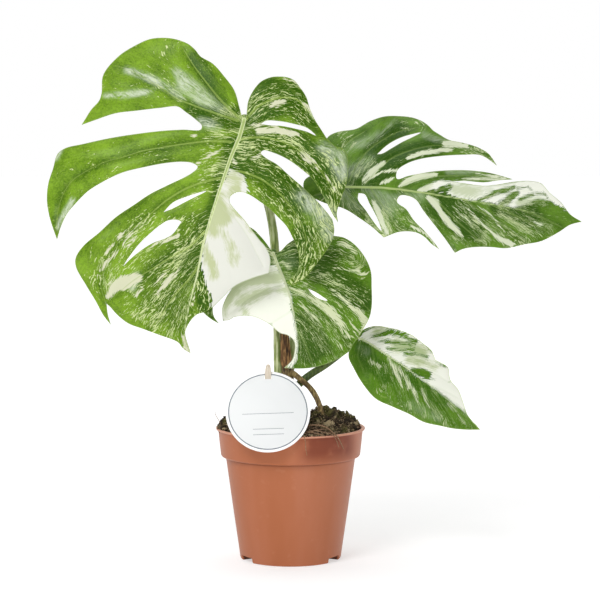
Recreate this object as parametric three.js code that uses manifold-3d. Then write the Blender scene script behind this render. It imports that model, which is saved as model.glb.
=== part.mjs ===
// Potted variegated monstera: a nursery pot of peat, a short stem with four leaf stalks and four
// cut and creamy leaves, an aerial root, and a round card on a flat wooden stick.
// Millimetres, +Z up. The origin is the middle of the pot's base, and the front looks along -Y.

import * as THREE from "three";
import { mergeVertices } from "three/addons/utils/BufferGeometryUtils.js";
import Module from "manifold-3d";

const wasm = await Module();
wasm.setup();

// Driving dimensions

const CLEAR = 0.3; // air between pieces that touch
const POT_HEIGHT = 106;
const POT_RIM_RADIUS = 60;
const POT_BASE_RADIUS = 40.7;
const POT_WALL = 1.3;
const POT_SIDES = 48;
const FLOOR_HEIGHT = 1.6; // thickness of the pot's floor
const FLOOR_RADIUS = 39.6; // inside radius where the floor's rounding meets the wall
const FLOOR_ROUNDING = 1; // how far up the wall that rounding ends
const STEP_RADIUS = 52.2; // outside radius just under the step below the band
const BAND_FOOT = 83; // height of that step
const BAND_RADIUS = 56.2; // outside radius at the band's foot
const LIP_FOOT = 101; // height where the band ends and the lip begins
const LIP_FOOT_RADIUS = 57.9;
const CHANNEL_TURNS = [-150, -30, 90]; // directions of the drainage channels, in degrees
const CHANNEL_WIDTH = 17;
const CHANNEL_HEIGHT = 4.2;
const CHANNEL_START = 15; // how far from the pot's axis a channel begins
const DRAIN_RADIUS = 4.5;
const DRAIN_PLACE = 28; // how far from the pot's axis a drainage hole is
const SOIL_FOOT = 6;
const SOIL_EDGE = 103; // height of the peat at the wall
const SOIL_MOUND = 9; // how much higher it is at the middle
const SOIL_RADIUS = 55.8; // where the peat's surface meets the wall
const BLADE_THICKNESS = 0.8;
const BLADE_GRID = 12; // spacing of the folds that a curved blade is made of
const OUTLINE_STEP = 6; // spacing of the points along a leaf margin
const RIB_END_RADIUS = 0.5;
const RIB_OFFSET = 0.6; // how far a midrib's middle is behind the blade, in its own radii
const CARD_RADIUS = 33;
const CARD_THICKNESS = 0.6;
const CARD_LEAN = THREE.MathUtils.degToRad(25);
const CARD_ROLL = THREE.MathUtils.degToRad(2);
const CARD_CENTRE = new THREE.Vector3(-17.4, -51.3, 124.7);
const STICK_WIDTH = 5.1;
const STICK_THICKNESS = 1.2;
const STICK_FOOT = 72;
const STICK_TOP = 160.6;
const STICK_OFFSET = 12.5; // how far the stick's middle is behind the card's
const PLANT_DEPTH = 400; // more than the whole plant's depth

// Solids

function solid(geometry) {
  const bare = geometry.index ? geometry.toNonIndexed() : geometry.clone();
  bare.deleteAttribute("normal");
  bare.deleteAttribute("uv");
  const merged = mergeVertices(bare, 1e-4);
  return new wasm.Manifold(
    new wasm.Mesh({
      numProp: 3,
      vertProperties: new Float32Array(merged.attributes.position.array),
      triVerts: new Uint32Array(merged.index.array),
    }),
  );
}

function geometryOf(body) {
  const mesh = body.getMesh();
  const geometry = new THREE.BufferGeometry();
  geometry.setAttribute("position", new THREE.BufferAttribute(mesh.vertProperties, 3));
  geometry.setIndex(new THREE.BufferAttribute(mesh.triVerts, 1));
  return geometry;
}

// A closed body from rings of points that run from its first end to its last. Each ring turns the
// same way, and each end is closed by a fan round its middle.
function ringBody(rings) {
  const sides = rings[0].length;
  const points = rings.flat();
  const faces = [];
  for (let k = 0; k + 1 < rings.length; k++) {
    for (let i = 0; i < sides; i++) {
      const a = k * sides + i;
      const b = k * sides + ((i + 1) % sides);
      faces.push(a, b, b + sides);
      faces.push(a, b + sides, a + sides);
    }
  }
  for (const [ring, start, last] of [
    [rings[0], 0, false],
    [rings.at(-1), points.length - sides, true],
  ]) {
    const middle = ring.reduce((sum, p) => sum.add(p), new THREE.Vector3()).divideScalar(sides);
    points.push(middle);
    for (let i = 0; i < sides; i++) {
      const a = start + i;
      const b = start + ((i + 1) % sides);
      faces.push(...(last ? [a, b, points.length - 1] : [b, a, points.length - 1]));
    }
  }
  const geometry = new THREE.BufferGeometry().setFromPoints(points);
  geometry.setIndex(faces);
  return solid(geometry);
}

// A stalk, root or rib: a round tube along a smooth curve. Each stop is [x, y, z, radius], and
// flat squeezes the section along the view.
function limb(stops, { sides = 9, step = 8, grow = 0, flat = 1 } = {}) {
  const curve = new THREE.CatmullRomCurve3(
    stops.map(([x, y, z]) => new THREE.Vector3(x, y, z)),
    false,
    "centripetal",
  );
  const count = Math.max(2, Math.round(curve.getLength() / step));
  const rings = [];
  const across = new THREE.Vector3(1, 0, 0);
  for (let k = 0; k <= count; k++) {
    const t = k / count;
    const at = curve.getPoint(t);
    const along = curve.getTangent(t);
    across.addScaledVector(along, -across.dot(along)).normalize();
    const deep = new THREE.Vector3().crossVectors(along, across);
    const passed = t * (stops.length - 1);
    const low = Math.min(Math.floor(passed), stops.length - 2);
    const radius = THREE.MathUtils.lerp(stops[low][3], stops[low + 1][3], passed - low);
    const ring = [];
    for (let i = 0; i < sides; i++) {
      const turn = (i / sides) * 2 * Math.PI;
      ring.push(
        at
          .clone()
          .addScaledVector(across, (radius + grow) * Math.cos(turn))
          .addScaledVector(deep, (radius * flat + grow) * Math.sin(turn)),
      );
    }
    rings.push(ring);
  }
  return ringBody(rings);
}

function ball(centre, radius) {
  const geometry = new THREE.SphereGeometry(radius, 14, 10);
  geometry.translate(...centre);
  return solid(geometry);
}

// Leaves

// Each leaf is drawn as it is seen from the front, in [x, z]. Its margin is a chain of smooth
// runs that meet at points and notches. Its depth y is a smooth surface: along is measured from
// base to tip, across to the left of that line, the crease follows the midrib, and the ripple
// lets the lobes swell and sink towards the margin.
function bladeDepth(leaf, x, z) {
  const run = leaf.tip[0] - leaf.base[0];
  const rise = leaf.tip[1] - leaf.base[1];
  const length = Math.hypot(run, rise);
  const dx = x - leaf.base[0];
  const dz = z - leaf.base[1];
  const along = (dx * run + dz * rise) / length;
  const part = THREE.MathUtils.clamp(along / length, 0, 1);
  const across = (dz * run - dx * rise) / length - leaf.bow * 4 * part * (1 - part);
  const crease = Math.hypot(across, leaf.creaseWidth) - leaf.creaseWidth;
  const edge = Math.min(1, (across / leaf.rippleReach) ** 2);
  return (
    leaf.depth +
    leaf.lean * along +
    leaf.curl * along * along +
    leaf.tilt * across +
    leaf.arch * across * across -
    leaf.crease * crease -
    leaf.ripple * Math.cos(((along - leaf.rippleCrest) / leaf.rippleLength) * 2 * Math.PI) * edge
  );
}

function marginPoints(run) {
  const curve = new THREE.CatmullRomCurve3(
    run.map(([x, z]) => new THREE.Vector3(x, 0, z)),
    false,
    "centripetal",
  );
  const count = run.length === 2 ? 1 : Math.max(2, Math.round(curve.getLength() / OUTLINE_STEP));
  return curve.getSpacedPoints(count).map((p) => new THREE.Vector2(p.x, p.z));
}

// A front view as deep as the whole plant.
function frontPrism(points) {
  const geometry = new THREE.ExtrudeGeometry(new THREE.Shape(points), {
    depth: PLANT_DEPTH,
    bevelEnabled: false,
  });
  geometry.rotateX(Math.PI / 2);
  geometry.translate(0, PLANT_DEPTH / 2, 0);
  return solid(geometry);
}

// The leaf's front view less its holes.
function bladeCutter(leaf) {
  let body = frontPrism(leaf.margin.flatMap((run) => marginPoints(run).slice(0, -1)));
  for (const hole of leaf.holes) {
    body = body.subtract(frontPrism(marginPoints([...hole, hole[0]]).slice(0, -1)));
  }
  return body;
}

// The curved sheet that the leaf is cut from: both faces are folded alike, so they never meet.
function bladeSheet(leaf) {
  const all = leaf.margin.flat();
  const xs = all.map((p) => p[0]);
  const zs = all.map((p) => p[1]);
  const left = Math.min(...xs) - BLADE_GRID;
  const low = Math.min(...zs) - BLADE_GRID;
  const columns = Math.ceil((Math.max(...xs) - left) / BLADE_GRID) + 1;
  const rows = Math.ceil((Math.max(...zs) - low) / BLADE_GRID) + 1;
  const points = [];
  for (const face of [-1, 1]) {
    for (let j = 0; j <= rows; j++) {
      for (let i = 0; i <= columns; i++) {
        const x = left + i * BLADE_GRID;
        const z = low + j * BLADE_GRID;
        const y = bladeDepth(leaf, x, z);
        const slopeX = bladeDepth(leaf, x + 1, z) - y;
        const slopeZ = bladeDepth(leaf, x, z + 1) - y;
        const half = (BLADE_THICKNESS / 2) * Math.hypot(1, slopeX, slopeZ);
        points.push(new THREE.Vector3(x, y + face * half, z));
      }
    }
  }
  const layer = (rows + 1) * (columns + 1);
  const at = (i, j) => j * (columns + 1) + i;
  const faces = [];
  for (let j = 0; j < rows; j++) {
    for (let i = 0; i < columns; i++) {
      const [a, b, c, d] = [at(i, j), at(i + 1, j), at(i + 1, j + 1), at(i, j + 1)];
      faces.push(a, b, c, a, c, d);
      faces.push(layer + a, layer + c, layer + b, layer + a, layer + d, layer + c);
    }
  }
  const rim = [];
  for (let i = 0; i < columns; i++) {
    rim.push(at(i, 0));
  }
  for (let j = 0; j < rows; j++) {
    rim.push(at(columns, j));
  }
  for (let i = columns; i > 0; i--) {
    rim.push(at(i, rows));
  }
  for (let j = rows; j > 0; j--) {
    rim.push(at(0, j));
  }
  rim.forEach((a, k) => {
    const b = rim[(k + 1) % rim.length];
    faces.push(b, a, layer + a, b, layer + a, layer + b);
  });
  const geometry = new THREE.BufferGeometry().setFromPoints(points);
  geometry.setIndex(faces);
  return solid(geometry);
}

// The knob where the stalk meets the blade sits just behind the base of the midrib.
function knobCentre(leaf) {
  return [leaf.base[0], leaf.depth + RIB_OFFSET * leaf.ribRadius, leaf.base[1]];
}

function leafBody(leaf) {
  const ribStops = leaf.midrib.map(([x, z], k) => {
    const passed = k / (leaf.midrib.length - 1);
    const radius = THREE.MathUtils.lerp(leaf.ribRadius, RIB_END_RADIUS, passed);
    return [x, bladeDepth(leaf, x, z) + RIB_OFFSET * radius, z, radius];
  });
  return bladeSheet(leaf)
    .intersect(bladeCutter(leaf))
    .add(limb(ribStops, { sides: 8, step: 12 }))
    .add(ball(knobCentre(leaf), leaf.knobRadius));
}

const FRONT_LEAF = {
  base: [-36, 352],
  tip: [-78, 169],
  depth: -28,
  lean: -0.3,
  curl: 0.0013,
  tilt: 0,
  arch: 0.0025,
  crease: 0.14,
  creaseWidth: 8,
  bow: -9.6,
  ripple: 3.5,
  rippleLength: 65,
  rippleCrest: 60,
  rippleReach: 80,
  ribRadius: 2.4,
  knobRadius: 4.2,
  midrib: [
    [-36, 352], [-39.5, 339], [-46.5, 322], [-56, 294], [-62, 275], [-68, 254], [-72.5, 231],
    [-79, 207], [-83, 186], [-79, 171],
  ],
  margin: [
    [
      [-37, 351], [-40, 362], [-44, 375], [-52, 386], [-61, 396], [-71, 402], [-75, 407], [-81, 412],
      [-92, 416], [-102, 417], [-112, 416], [-124.5, 410.5], [-136.5, 402.5], [-148, 387.5],
      [-149, 373], [-151, 367], [-157.5, 360], [-165, 348],
    ],
    [
      [-165, 348], [-153.5, 352], [-137.5, 357], [-120, 359], [-102, 361], [-88, 362], [-82, 358],
      [-74, 352], [-69, 347], [-70, 344], [-84, 344], [-101, 343], [-126, 340], [-144, 337],
      [-162.5, 333], [-177.5, 329.5], [-183.5, 325], [-187, 314], [-191.5, 301.5], [-192.5, 289],
      [-190, 276.5], [-183, 258],
    ],
    [
      [-183, 258], [-180.5, 267], [-175.5, 278], [-168.5, 286.5], [-158.5, 296], [-146, 303.5],
      [-131, 310.5], [-113, 315], [-97, 318], [-84, 319], [-76, 318], [-72, 315], [-77, 310], [-95, 301],
      [-109, 294], [-121, 286], [-136, 276], [-149, 264], [-161.5, 253.5], [-168, 244],
      [-168, 236.5], [-160, 221.5], [-152.5, 209.5], [-146.5, 199], [-140.5, 191.5],
    ],
    [[-140.5, 191.5], [-143, 200], [-144, 208]],
    [
      [-144, 208], [-140.5, 205], [-136.5, 200.5], [-127, 193], [-115, 188.5], [-103, 184], [-88, 178],
      [-84, 173], [-78, 169],
    ],
    [[-78, 169], [-81.5, 177], [-82.5, 185], [-79, 193.5], [-73, 200], [-67, 202], [-60, 206]],
    [[-60, 206], [-52, 214], [-43, 222.5], [-30, 228.5], [-16.5, 232.5]],
    [
      [-16.5, 232.5], [-15.5, 243.5], [-19, 252.5], [-24, 258.5], [-30, 266.5], [-36, 274.5],
      [-42, 281], [-47, 288], [-46.5, 292], [-40.5, 295.5], [-33, 294], [-23.5, 288], [-16.5, 283],
      [-10.5, 277], [-3, 269], [2, 259.5], [5.5, 251.5], [7, 241], [5.5, 233.5], [1, 228.5],
      [-3, 225],
    ],
    [
      [-3, 225], [2, 223], [9, 226.5], [15, 232], [22, 241], [28, 249], [33, 258], [34.5, 266],
      [33, 274],
    ],
    [
      [33, 274], [28, 280.5], [19.5, 290], [9, 300], [-1, 308.5], [-10.5, 317], [-19, 322],
      [-23, 326], [-20.5, 328], [-14.5, 326.5], [-7, 323.5], [1, 319], [9, 313], [17, 306],
      [23, 297], [27.5, 289], [31, 282], [34, 276.5], [37.5, 271.5],
    ],
    [
      [37.5, 271.5], [36.5, 279], [40, 290.5], [44, 301], [45.5, 311], [45.5, 319.5], [44, 326],
      [40, 330], [35, 331],
    ],
    [
      [35, 331], [29, 337], [24, 344.5], [19, 352.5], [15, 362], [12.5, 370], [8, 377], [3, 383],
      [-3, 385.5], [-9, 386], [-15, 385.5], [-23, 382], [-29, 375], [-33, 366.5], [-34, 359],
      [-34.5, 351],
    ],
    [[-34.5, 351], [-37, 351]],
  ],
  holes: [
    [
      [-84.5, 272.5], [-88, 274], [-95, 273.5], [-101, 270], [-109.5, 263], [-119, 253.5],
      [-130, 238], [-125, 243], [-116.5, 250], [-107, 256], [-97.5, 259.5], [-91.5, 263],
    ],
    [[-98.5, 280], [-91, 287.5], [-80.5, 292], [-65, 296.5], [-80.5, 288.5], [-91, 283]],
    [
      [-23, 348.5], [-19, 351], [-7, 350.5], [3, 348.5], [13, 345.5], [20, 339.5], [13, 342.5],
      [5.5, 344.5], [-7, 347], [-16.5, 347.5],
    ],
  ],
};

const RIGHT_LEAF = {
  base: [28, 301],
  tip: [236, 270.5],
  depth: 26,
  lean: -0.1,
  curl: 0.0003,
  tilt: 0.78,
  arch: 0.004,
  crease: 0.1,
  creaseWidth: 6,
  bow: 0,
  ripple: 3,
  rippleLength: 50,
  rippleCrest: 30,
  rippleReach: 50,
  ribRadius: 2.1,
  knobRadius: 3.4,
  midrib: [
    [28, 301], [45, 298.5], [73, 298], [88, 296.5], [110, 293.5], [134, 289.5], [162, 284.5],
    [197, 278], [233, 271],
  ],
  margin: [
    [
      [28, 301], [25.5, 312], [27.5, 328], [30.5, 339], [39, 343.5], [54, 346], [66, 352.5],
      [78, 356.5], [90, 357], [102.5, 355.5], [112, 351], [118.5, 344.5],
    ],
    [[118.5, 344.5], [124, 341], [131, 337], [142.5, 334.5], [154, 331], [163, 325.5], [169.5, 315.5]],
    [
      [169.5, 315.5], [157, 324], [142, 324.5], [123.5, 323.5], [106, 321], [94.5, 317], [87, 311.5],
      [86.5, 305], [96.5, 307.5], [117, 311], [135.5, 312], [150, 311.5], [164, 309.5], [182, 304.5],
    ],
    [[182, 304.5], [169, 303.5], [157.5, 302], [144.5, 303], [132, 303]],
    [[132, 303], [144.5, 301], [157.5, 299.5], [169, 300.5], [181.5, 302.5], [193.5, 303.5]],
    [[193.5, 303.5], [204.5, 301.5], [211.5, 293.5], [220, 286], [226.5, 276.5], [235.5, 270.5]],
    [
      [235.5, 270.5], [225.5, 268], [216, 262.5], [201, 255.5], [187.5, 253], [172, 250], [160, 251],
      [146.5, 251], [137.5, 249.5], [131, 246.5],
    ],
    [
      [131, 246.5], [123.5, 257.5], [113, 271.5], [107, 279.5], [101.5, 288], [96, 291], [88.5, 291.5],
      [86, 286.5], [93, 281], [99.5, 271.5], [107, 264], [113, 257], [119, 249],
    ],
    [[119, 249], [112.5, 253.5], [107, 259], [100.5, 262.5], [87.5, 263], [74.5, 258.5]],
    [
      [74.5, 258.5], [65, 267], [55, 274], [46.5, 279.5], [39.5, 282.5], [28, 285.5], [17.5, 290.5],
      [11, 296], [11, 303.5], [17.5, 307.5], [28, 301],
    ],
  ],
  holes: [
    [
      [71, 325], [77, 330.5], [83.5, 335], [92, 339], [100.5, 341.5], [108, 343], [100.5, 339],
      [92, 335], [81.5, 329], [75, 325.5],
    ],
    [
      [55, 293.5], [60, 292.5], [63.5, 285.5], [67.5, 278], [71, 270], [73, 263.5], [67, 270.5],
      [60.5, 280], [54.5, 288.5],
    ],
  ],
};

const MIDDLE_LEAF = {
  base: [-13.5, 247],
  tip: [-5, 156],
  depth: -20,
  lean: -0.14,
  curl: 0.0006,
  tilt: 0,
  arch: 0.0035,
  crease: 0.12,
  creaseWidth: 6,
  bow: 8,
  ripple: 2,
  rippleLength: 50,
  rippleCrest: 40,
  rippleReach: 50,
  ribRadius: 1.8,
  knobRadius: 3,
  midrib: [[-13.5, 247], [-11, 240], [-5, 226], [-1, 215], [2.5, 200], [5, 185], [5, 172], [3, 161]],
  margin: [
    [
      [-13.5, 247], [-8, 248.5], [-2.5, 254], [5, 258.5], [16.5, 261], [25, 261.5], [34.5, 260.5],
      [42.5, 259], [51.5, 253], [60, 242], [64, 232], [64.5, 220], [64.5, 204.5], [62.5, 195],
      [54.5, 181.5], [49.5, 174.5], [47, 170], [39, 164.5], [27.5, 159.5], [15.5, 156.5], [3, 156],
      [-5, 156.5],
    ],
    [
      [-5, 156.5], [1.5, 163], [3.5, 170.5], [3, 177.5], [-2.5, 182.5], [-8, 184], [-13.5, 188.5],
      [-17.5, 191.5], [-24, 195], [-32.5, 197.5], [-44, 196.5], [-48.5, 194], [-53.5, 193.5],
    ],
    [
      [-53.5, 193.5], [-54, 203], [-51, 211.5], [-45.5, 220], [-41.5, 226], [-46, 225], [-54, 217],
      [-60.5, 207.5], [-61.5, 201], [-60.5, 196.5], [-56.5, 191],
    ],
    [
      [-56.5, 191], [-63.5, 195], [-70, 201], [-74, 211], [-72.5, 225.5], [-66, 243], [-55.5, 257],
      [-44.5, 266], [-32.5, 267.5], [-22.5, 259], [-13.5, 247],
    ],
  ],
  holes: [[[14, 219], [19.5, 216.5], [25, 213], [29.5, 209.5], [23, 211], [17, 215]]],
};

const LOWER_LEAF = {
  base: [55, 177.5],
  tip: [151.5, 105.5],
  depth: 4,
  lean: -0.1,
  curl: -0.0004,
  tilt: 0.35,
  arch: 0.006,
  crease: 0.12,
  creaseWidth: 5,
  bow: 0,
  ripple: 1.2,
  rippleLength: 38,
  rippleCrest: 30,
  rippleReach: 28,
  ribRadius: 1.6,
  knobRadius: 2.6,
  midrib: [
    [55, 177.5], [63, 173.5], [77, 164], [89, 156.5], [103, 146.5], [116.5, 136.5], [133, 122],
    [149, 108],
  ],
  margin: [
    [
      [55, 177.5], [57.5, 183], [66, 186.5], [72, 186.5], [80.5, 185], [87.5, 183.5], [98.5, 179],
      [107, 172.5], [114, 166.5], [117, 159.5],
    ],
    [
      [117, 159.5], [123, 156.5], [127, 153.5], [128.5, 144.5], [135, 136], [139.5, 123.5],
      [142, 116.5], [151.5, 105.5],
    ],
    [
      [151.5, 105.5], [142, 105.5], [130, 106.5], [120, 108.5], [106.5, 111.5], [94.5, 118],
      [82.5, 123], [68.5, 129.5], [57.5, 142], [51, 153], [46.5, 163.5], [49.5, 173], [55, 177.5],
    ],
  ],
  holes: [],
};

// Stem, stalks and root, as stops of [x, y, z, radius]

const MAIN_STEM = [
  [-9, 1, 72, 5],
  [-9, 1, 100, 6],
  [-8, 0.5, 116, 6.4],
  [-7, 0, 126, 5.6],
  [-5.5, 0, 137, 5.6],
  [-4, 0, 148, 6.8],
  [-3.5, 0, 154, 5.6],
  [-3.5, 0.5, 160, 4.2],
];
const DRY_SHEATH = [
  [-2.5, -6.9, 153.5, 2],
  [-2.2, -6.9, 158, 3.4],
  [-2.8, -8.4, 168, 3],
  [-4, -10, 182, 2.4],
  [-4.8, -11.5, 194, 1],
];
const AERIAL_ROOT = [
  [-1.5, -2, 151, 2.2],
  [3, -5, 149, 2.3],
  [8, -6.5, 145, 2.3],
  [15, -8, 139, 2.2],
  [19.6, -9, 132.5, 2.2],
  [23, -10, 125.5, 2.2],
  [24.8, -10.5, 118, 2.1],
  [25, -10.5, 105, 2],
  [24, -10, 92, 1.4],
];
const FRONT_STALK = [
  [-5.5, -1, 138, 3],
  [-9.5, -3.5, 147, 3.2],
  [-10.4, -3.5, 160, 3.3],
  [-10.4, -2, 184, 3.4],
  [-9.2, 0, 208, 3.7],
  [-8.8, 1, 232, 3.9],
  [-10, 1, 249, 4],
  [-13.5, 0, 266, 3.9],
  [-19.5, -1, 282, 3.6],
  [-26, -4, 304, 3.4],
  [-32, -9, 327, 3.2],
  [-35.5, -15, 343, 3],
  [-36, -26, 352, 3],
];
const RIGHT_STALK = [
  [-2, 2, 146, 2.8],
  [0.5, 5.5, 156, 3],
  [2, 8, 176, 3],
  [4, 13, 208, 3],
  [8, 19, 246, 2.9],
  [12, 25, 272, 2.8],
  [18, 31, 290, 2.7],
  [24, 32, 298, 2.7],
  [28, 27, 301, 2.7],
];
const MIDDLE_STALK = [
  [-4, -1, 152, 2],
  [-4.2, -3, 163, 2.2],
  [-4.6, -6, 190, 2.2],
  [-7, -9, 216, 2.1],
  [-10.5, -10.5, 236, 2],
  [-13, -13, 245, 2],
  [-13.5, -19, 247, 2],
];
const LOWER_STALK = [
  [-6, 2, 126, 2.6],
  [0, 4.5, 135, 2.8],
  [7.5, 5.5, 143.5, 2.9],
  [16, 6, 152, 2.8],
  [28, 7, 158.5, 2.6],
  [42, 7.5, 167, 2.4],
  [51, 8, 174, 2.3],
  [55, 4.5, 177.5, 2.3],
];

const stemBody = (grow = 0) => limb(MAIN_STEM, { sides: 14, step: 5, grow });
const rootBody = (grow = 0) => limb(AERIAL_ROOT, { sides: 8, step: 6, grow });

// A stalk springs from the stem and ends in the seat round its leaf's knob.
function stalkBody(stops, leaf) {
  return limb(stops)
    .subtract(stemBody(CLEAR))
    .subtract(ball(knobCentre(leaf), leaf.knobRadius + CLEAR));
}

// Card and stick

function stickBody(grow = 0) {
  const half = STICK_WIDTH / 2 + grow;
  const shape = new THREE.Shape();
  shape.moveTo(-half, STICK_FOOT - grow);
  shape.lineTo(half, STICK_FOOT - grow);
  shape.lineTo(half, STICK_TOP - STICK_WIDTH / 2);
  shape.absarc(0, STICK_TOP - STICK_WIDTH / 2, half, 0, Math.PI, false);
  const deep = STICK_THICKNESS + 2 * grow;
  const geometry = new THREE.ExtrudeGeometry(shape, {
    depth: deep,
    bevelEnabled: false,
    curveSegments: 8,
  });
  geometry.rotateX(Math.PI / 2);
  geometry.translate(CARD_CENTRE.x, CARD_CENTRE.y + STICK_OFFSET + deep / 2, 0);
  return solid(geometry);
}

function cardBody() {
  const geometry = new THREE.CylinderGeometry(CARD_RADIUS, CARD_RADIUS, CARD_THICKNESS, 72);
  geometry.rotateY(CARD_ROLL);
  geometry.rotateX(-CARD_LEAN);
  geometry.translate(...CARD_CENTRE);
  return solid(geometry).subtract(stickBody(CLEAR));
}

// Pot and peat

// The pot's outside as [radius, z] from the foot to the top of the lip.
const POT_OUTSIDE = [
  [POT_BASE_RADIUS - 1.1, 0],
  [POT_BASE_RADIUS, 1.2],
  [STEP_RADIUS + 0.2, BAND_FOOT - 0.5],
  [BAND_RADIUS - 1.6, BAND_FOOT - 0.2],
  [BAND_RADIUS - 0.5, BAND_FOOT + 0.5],
  [BAND_RADIUS, BAND_FOOT + 2],
  [LIP_FOOT_RADIUS, LIP_FOOT],
  [59.3, LIP_FOOT + 0.7],
  [POT_RIM_RADIUS, 102.8],
  [POT_RIM_RADIUS, 104.6],
  [59.3, 105.7],
  [58.2, POT_HEIGHT],
];
// The inside, from the lip down to the floor.
const POT_INSIDE = [
  [57.1, POT_HEIGHT - 0.3],
  [56.5, 104.8],
  [BAND_RADIUS - POT_WALL, BAND_FOOT + 2],
  [STEP_RADIUS - POT_WALL, BAND_FOOT - 2],
  [FLOOR_RADIUS, FLOOR_HEIGHT + FLOOR_ROUNDING],
  [FLOOR_RADIUS - 1.2, FLOOR_HEIGHT],
];

// A drainage channel under the floor, from near the middle out past radius reach.
function channelBody(turn, grow, reach) {
  const wide = CHANNEL_WIDTH / 2 + grow;
  const high = CHANNEL_HEIGHT + grow;
  const shape = new THREE.Shape();
  shape.moveTo(-wide, -1);
  shape.lineTo(wide, -1);
  shape.lineTo(wide - 1, high - 1.2);
  shape.lineTo(wide - 2.4, high);
  shape.lineTo(-wide + 2.4, high);
  shape.lineTo(-wide + 1, high - 1.2);
  const start = CHANNEL_START - grow;
  const geometry = new THREE.ExtrudeGeometry(shape, { depth: reach - start, bevelEnabled: false });
  geometry.rotateX(Math.PI / 2);
  geometry.translate(0, -start, 0);
  geometry.rotateZ(THREE.MathUtils.degToRad(turn + 90));
  return solid(geometry);
}

function potBody() {
  const profile = [[0, 0], ...POT_OUTSIDE, ...POT_INSIDE, [0, FLOOR_HEIGHT]];
  const points = profile.map(([r, z]) => new THREE.Vector2(r, z));
  const cup = new THREE.LatheGeometry(points, POT_SIDES);
  cup.rotateX(Math.PI / 2);
  let body = solid(cup);
  // The foot of the pot as a plain block, which keeps the humps over the channels inside the wall.
  const blockTop = 3 * CHANNEL_HEIGHT;
  const block = new THREE.LatheGeometry(
    [[0, 0], [POT_BASE_RADIUS - 0.8, 0], [POT_BASE_RADIUS, blockTop], [0, blockTop]].map(
      ([r, z]) => new THREE.Vector2(r, z),
    ),
    POT_SIDES,
  );
  block.rotateX(Math.PI / 2);
  const foot = solid(block);
  for (const turn of CHANNEL_TURNS) {
    body = body.add(channelBody(turn, POT_WALL, POT_RIM_RADIUS).intersect(foot));
  }
  for (const turn of CHANNEL_TURNS) {
    body = body.subtract(channelBody(turn, 0, POT_RIM_RADIUS));
    const hole = new THREE.CylinderGeometry(DRAIN_RADIUS, DRAIN_RADIUS, 20, 20);
    hole.rotateX(Math.PI / 2);
    hole.translate(0, -DRAIN_PLACE, 0);
    hole.rotateZ(THREE.MathUtils.degToRad(turn + 90));
    body = body.subtract(solid(hole));
  }
  return body;
}

// Height of the peat over [x, y]: a mound, higher to the right, with clods on it.
function soilHeight(x, y) {
  const out = Math.min(Math.hypot(x, y) / SOIL_RADIUS, 1);
  const mound = SOIL_MOUND * (1 - out ** 2.4) + 3 * Math.exp(-((x - 36) ** 2 + y ** 2) / 300);
  const clods =
    1.1 * Math.sin(0.31 * x + 0.12 * y + 1) * Math.cos(0.27 * y - 0.08 * x) +
    0.7 * Math.sin(0.62 * x - 0.5 * y + 2) +
    0.4 * Math.sin(1.1 * x + 0.8 * y);
  return SOIL_EDGE + mound + clods * (1.15 - 0.6 * out);
}

// The peat follows the pot's wall, CLEAR of it, up to its uneven top.
function soilBody() {
  const wallFoot = FLOOR_HEIGHT + FLOOR_ROUNDING;
  const wallTop = BAND_FOOT - 2;
  const bandInside = BAND_RADIUS - POT_WALL - CLEAR;
  const wallRadius = (z) => {
    const up = (z - wallFoot) / (wallTop - wallFoot);
    return THREE.MathUtils.lerp(FLOOR_RADIUS, STEP_RADIUS - POT_WALL, up) - CLEAR;
  };
  const rings = [];
  const ring = (radius, height) => {
    const points = [];
    for (let i = 0; i < POT_SIDES; i++) {
      const turn = (i / POT_SIDES) * 2 * Math.PI;
      const x = radius * Math.cos(turn);
      const y = radius * Math.sin(turn);
      points.push(new THREE.Vector3(x, y, height ?? soilHeight(x, y)));
    }
    rings.push(points);
  };
  ring(wallRadius(SOIL_FOOT), SOIL_FOOT);
  ring(wallRadius(wallTop), wallTop);
  ring(bandInside, BAND_FOOT + 2.5);
  ring(SOIL_RADIUS, SOIL_EDGE - 3);
  for (const radius of [54.6, 50, 44, 38, 32, 26, 20, 14, 8, 3]) {
    ring(radius);
  }
  return ringBody(rings)
    .subtract(stemBody(CLEAR))
    .subtract(rootBody(CLEAR))
    .subtract(stickBody(CLEAR));
}

// The finished plant

const plant = new THREE.Group();

function place(name, body, color, roughness) {
  const material = new THREE.MeshStandardMaterial({ color, roughness, metalness: 0 });
  const mesh = new THREE.Mesh(geometryOf(body), material);
  mesh.name = name;
  plant.add(mesh);
}

place("pot", potBody(), 0xb8704c, 0.45);
place("soil", soilBody(), 0x3a2e24, 0.95);
place("main_stem", stemBody(), 0x6e7a3c, 0.6);
place("dry_sheath", limb(DRY_SHEATH, { sides: 12, step: 4, flat: 0.3 }), 0x8a5a3a, 0.8);
place("aerial_root", rootBody().subtract(stemBody(CLEAR)), 0x8a7a50, 0.75);
place("stalk_front", stalkBody(FRONT_STALK, FRONT_LEAF), 0x7f9a4a, 0.5);
place("stalk_right", stalkBody(RIGHT_STALK, RIGHT_LEAF), 0x6f8f40, 0.5);
place("stalk_middle", stalkBody(MIDDLE_STALK, MIDDLE_LEAF), 0x6f8f40, 0.5);
place("stalk_lower", stalkBody(LOWER_STALK, LOWER_LEAF), 0x4f6f30, 0.5);
place("leaf_front", leafBody(FRONT_LEAF), 0x6f9f2f, 0.35);
place("leaf_right", leafBody(RIGHT_LEAF), 0x4f7f2a, 0.35);
place("leaf_middle", leafBody(MIDDLE_LEAF), 0x4f7f2a, 0.35);
place("leaf_lower", leafBody(LOWER_LEAF), 0x5c8a34, 0.35);
place("tag_card", cardBody(), 0xf3f4f4, 0.6);
place("tag_stick", stickBody(), 0xe6d3bd, 0.75);

export default plant;
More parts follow.
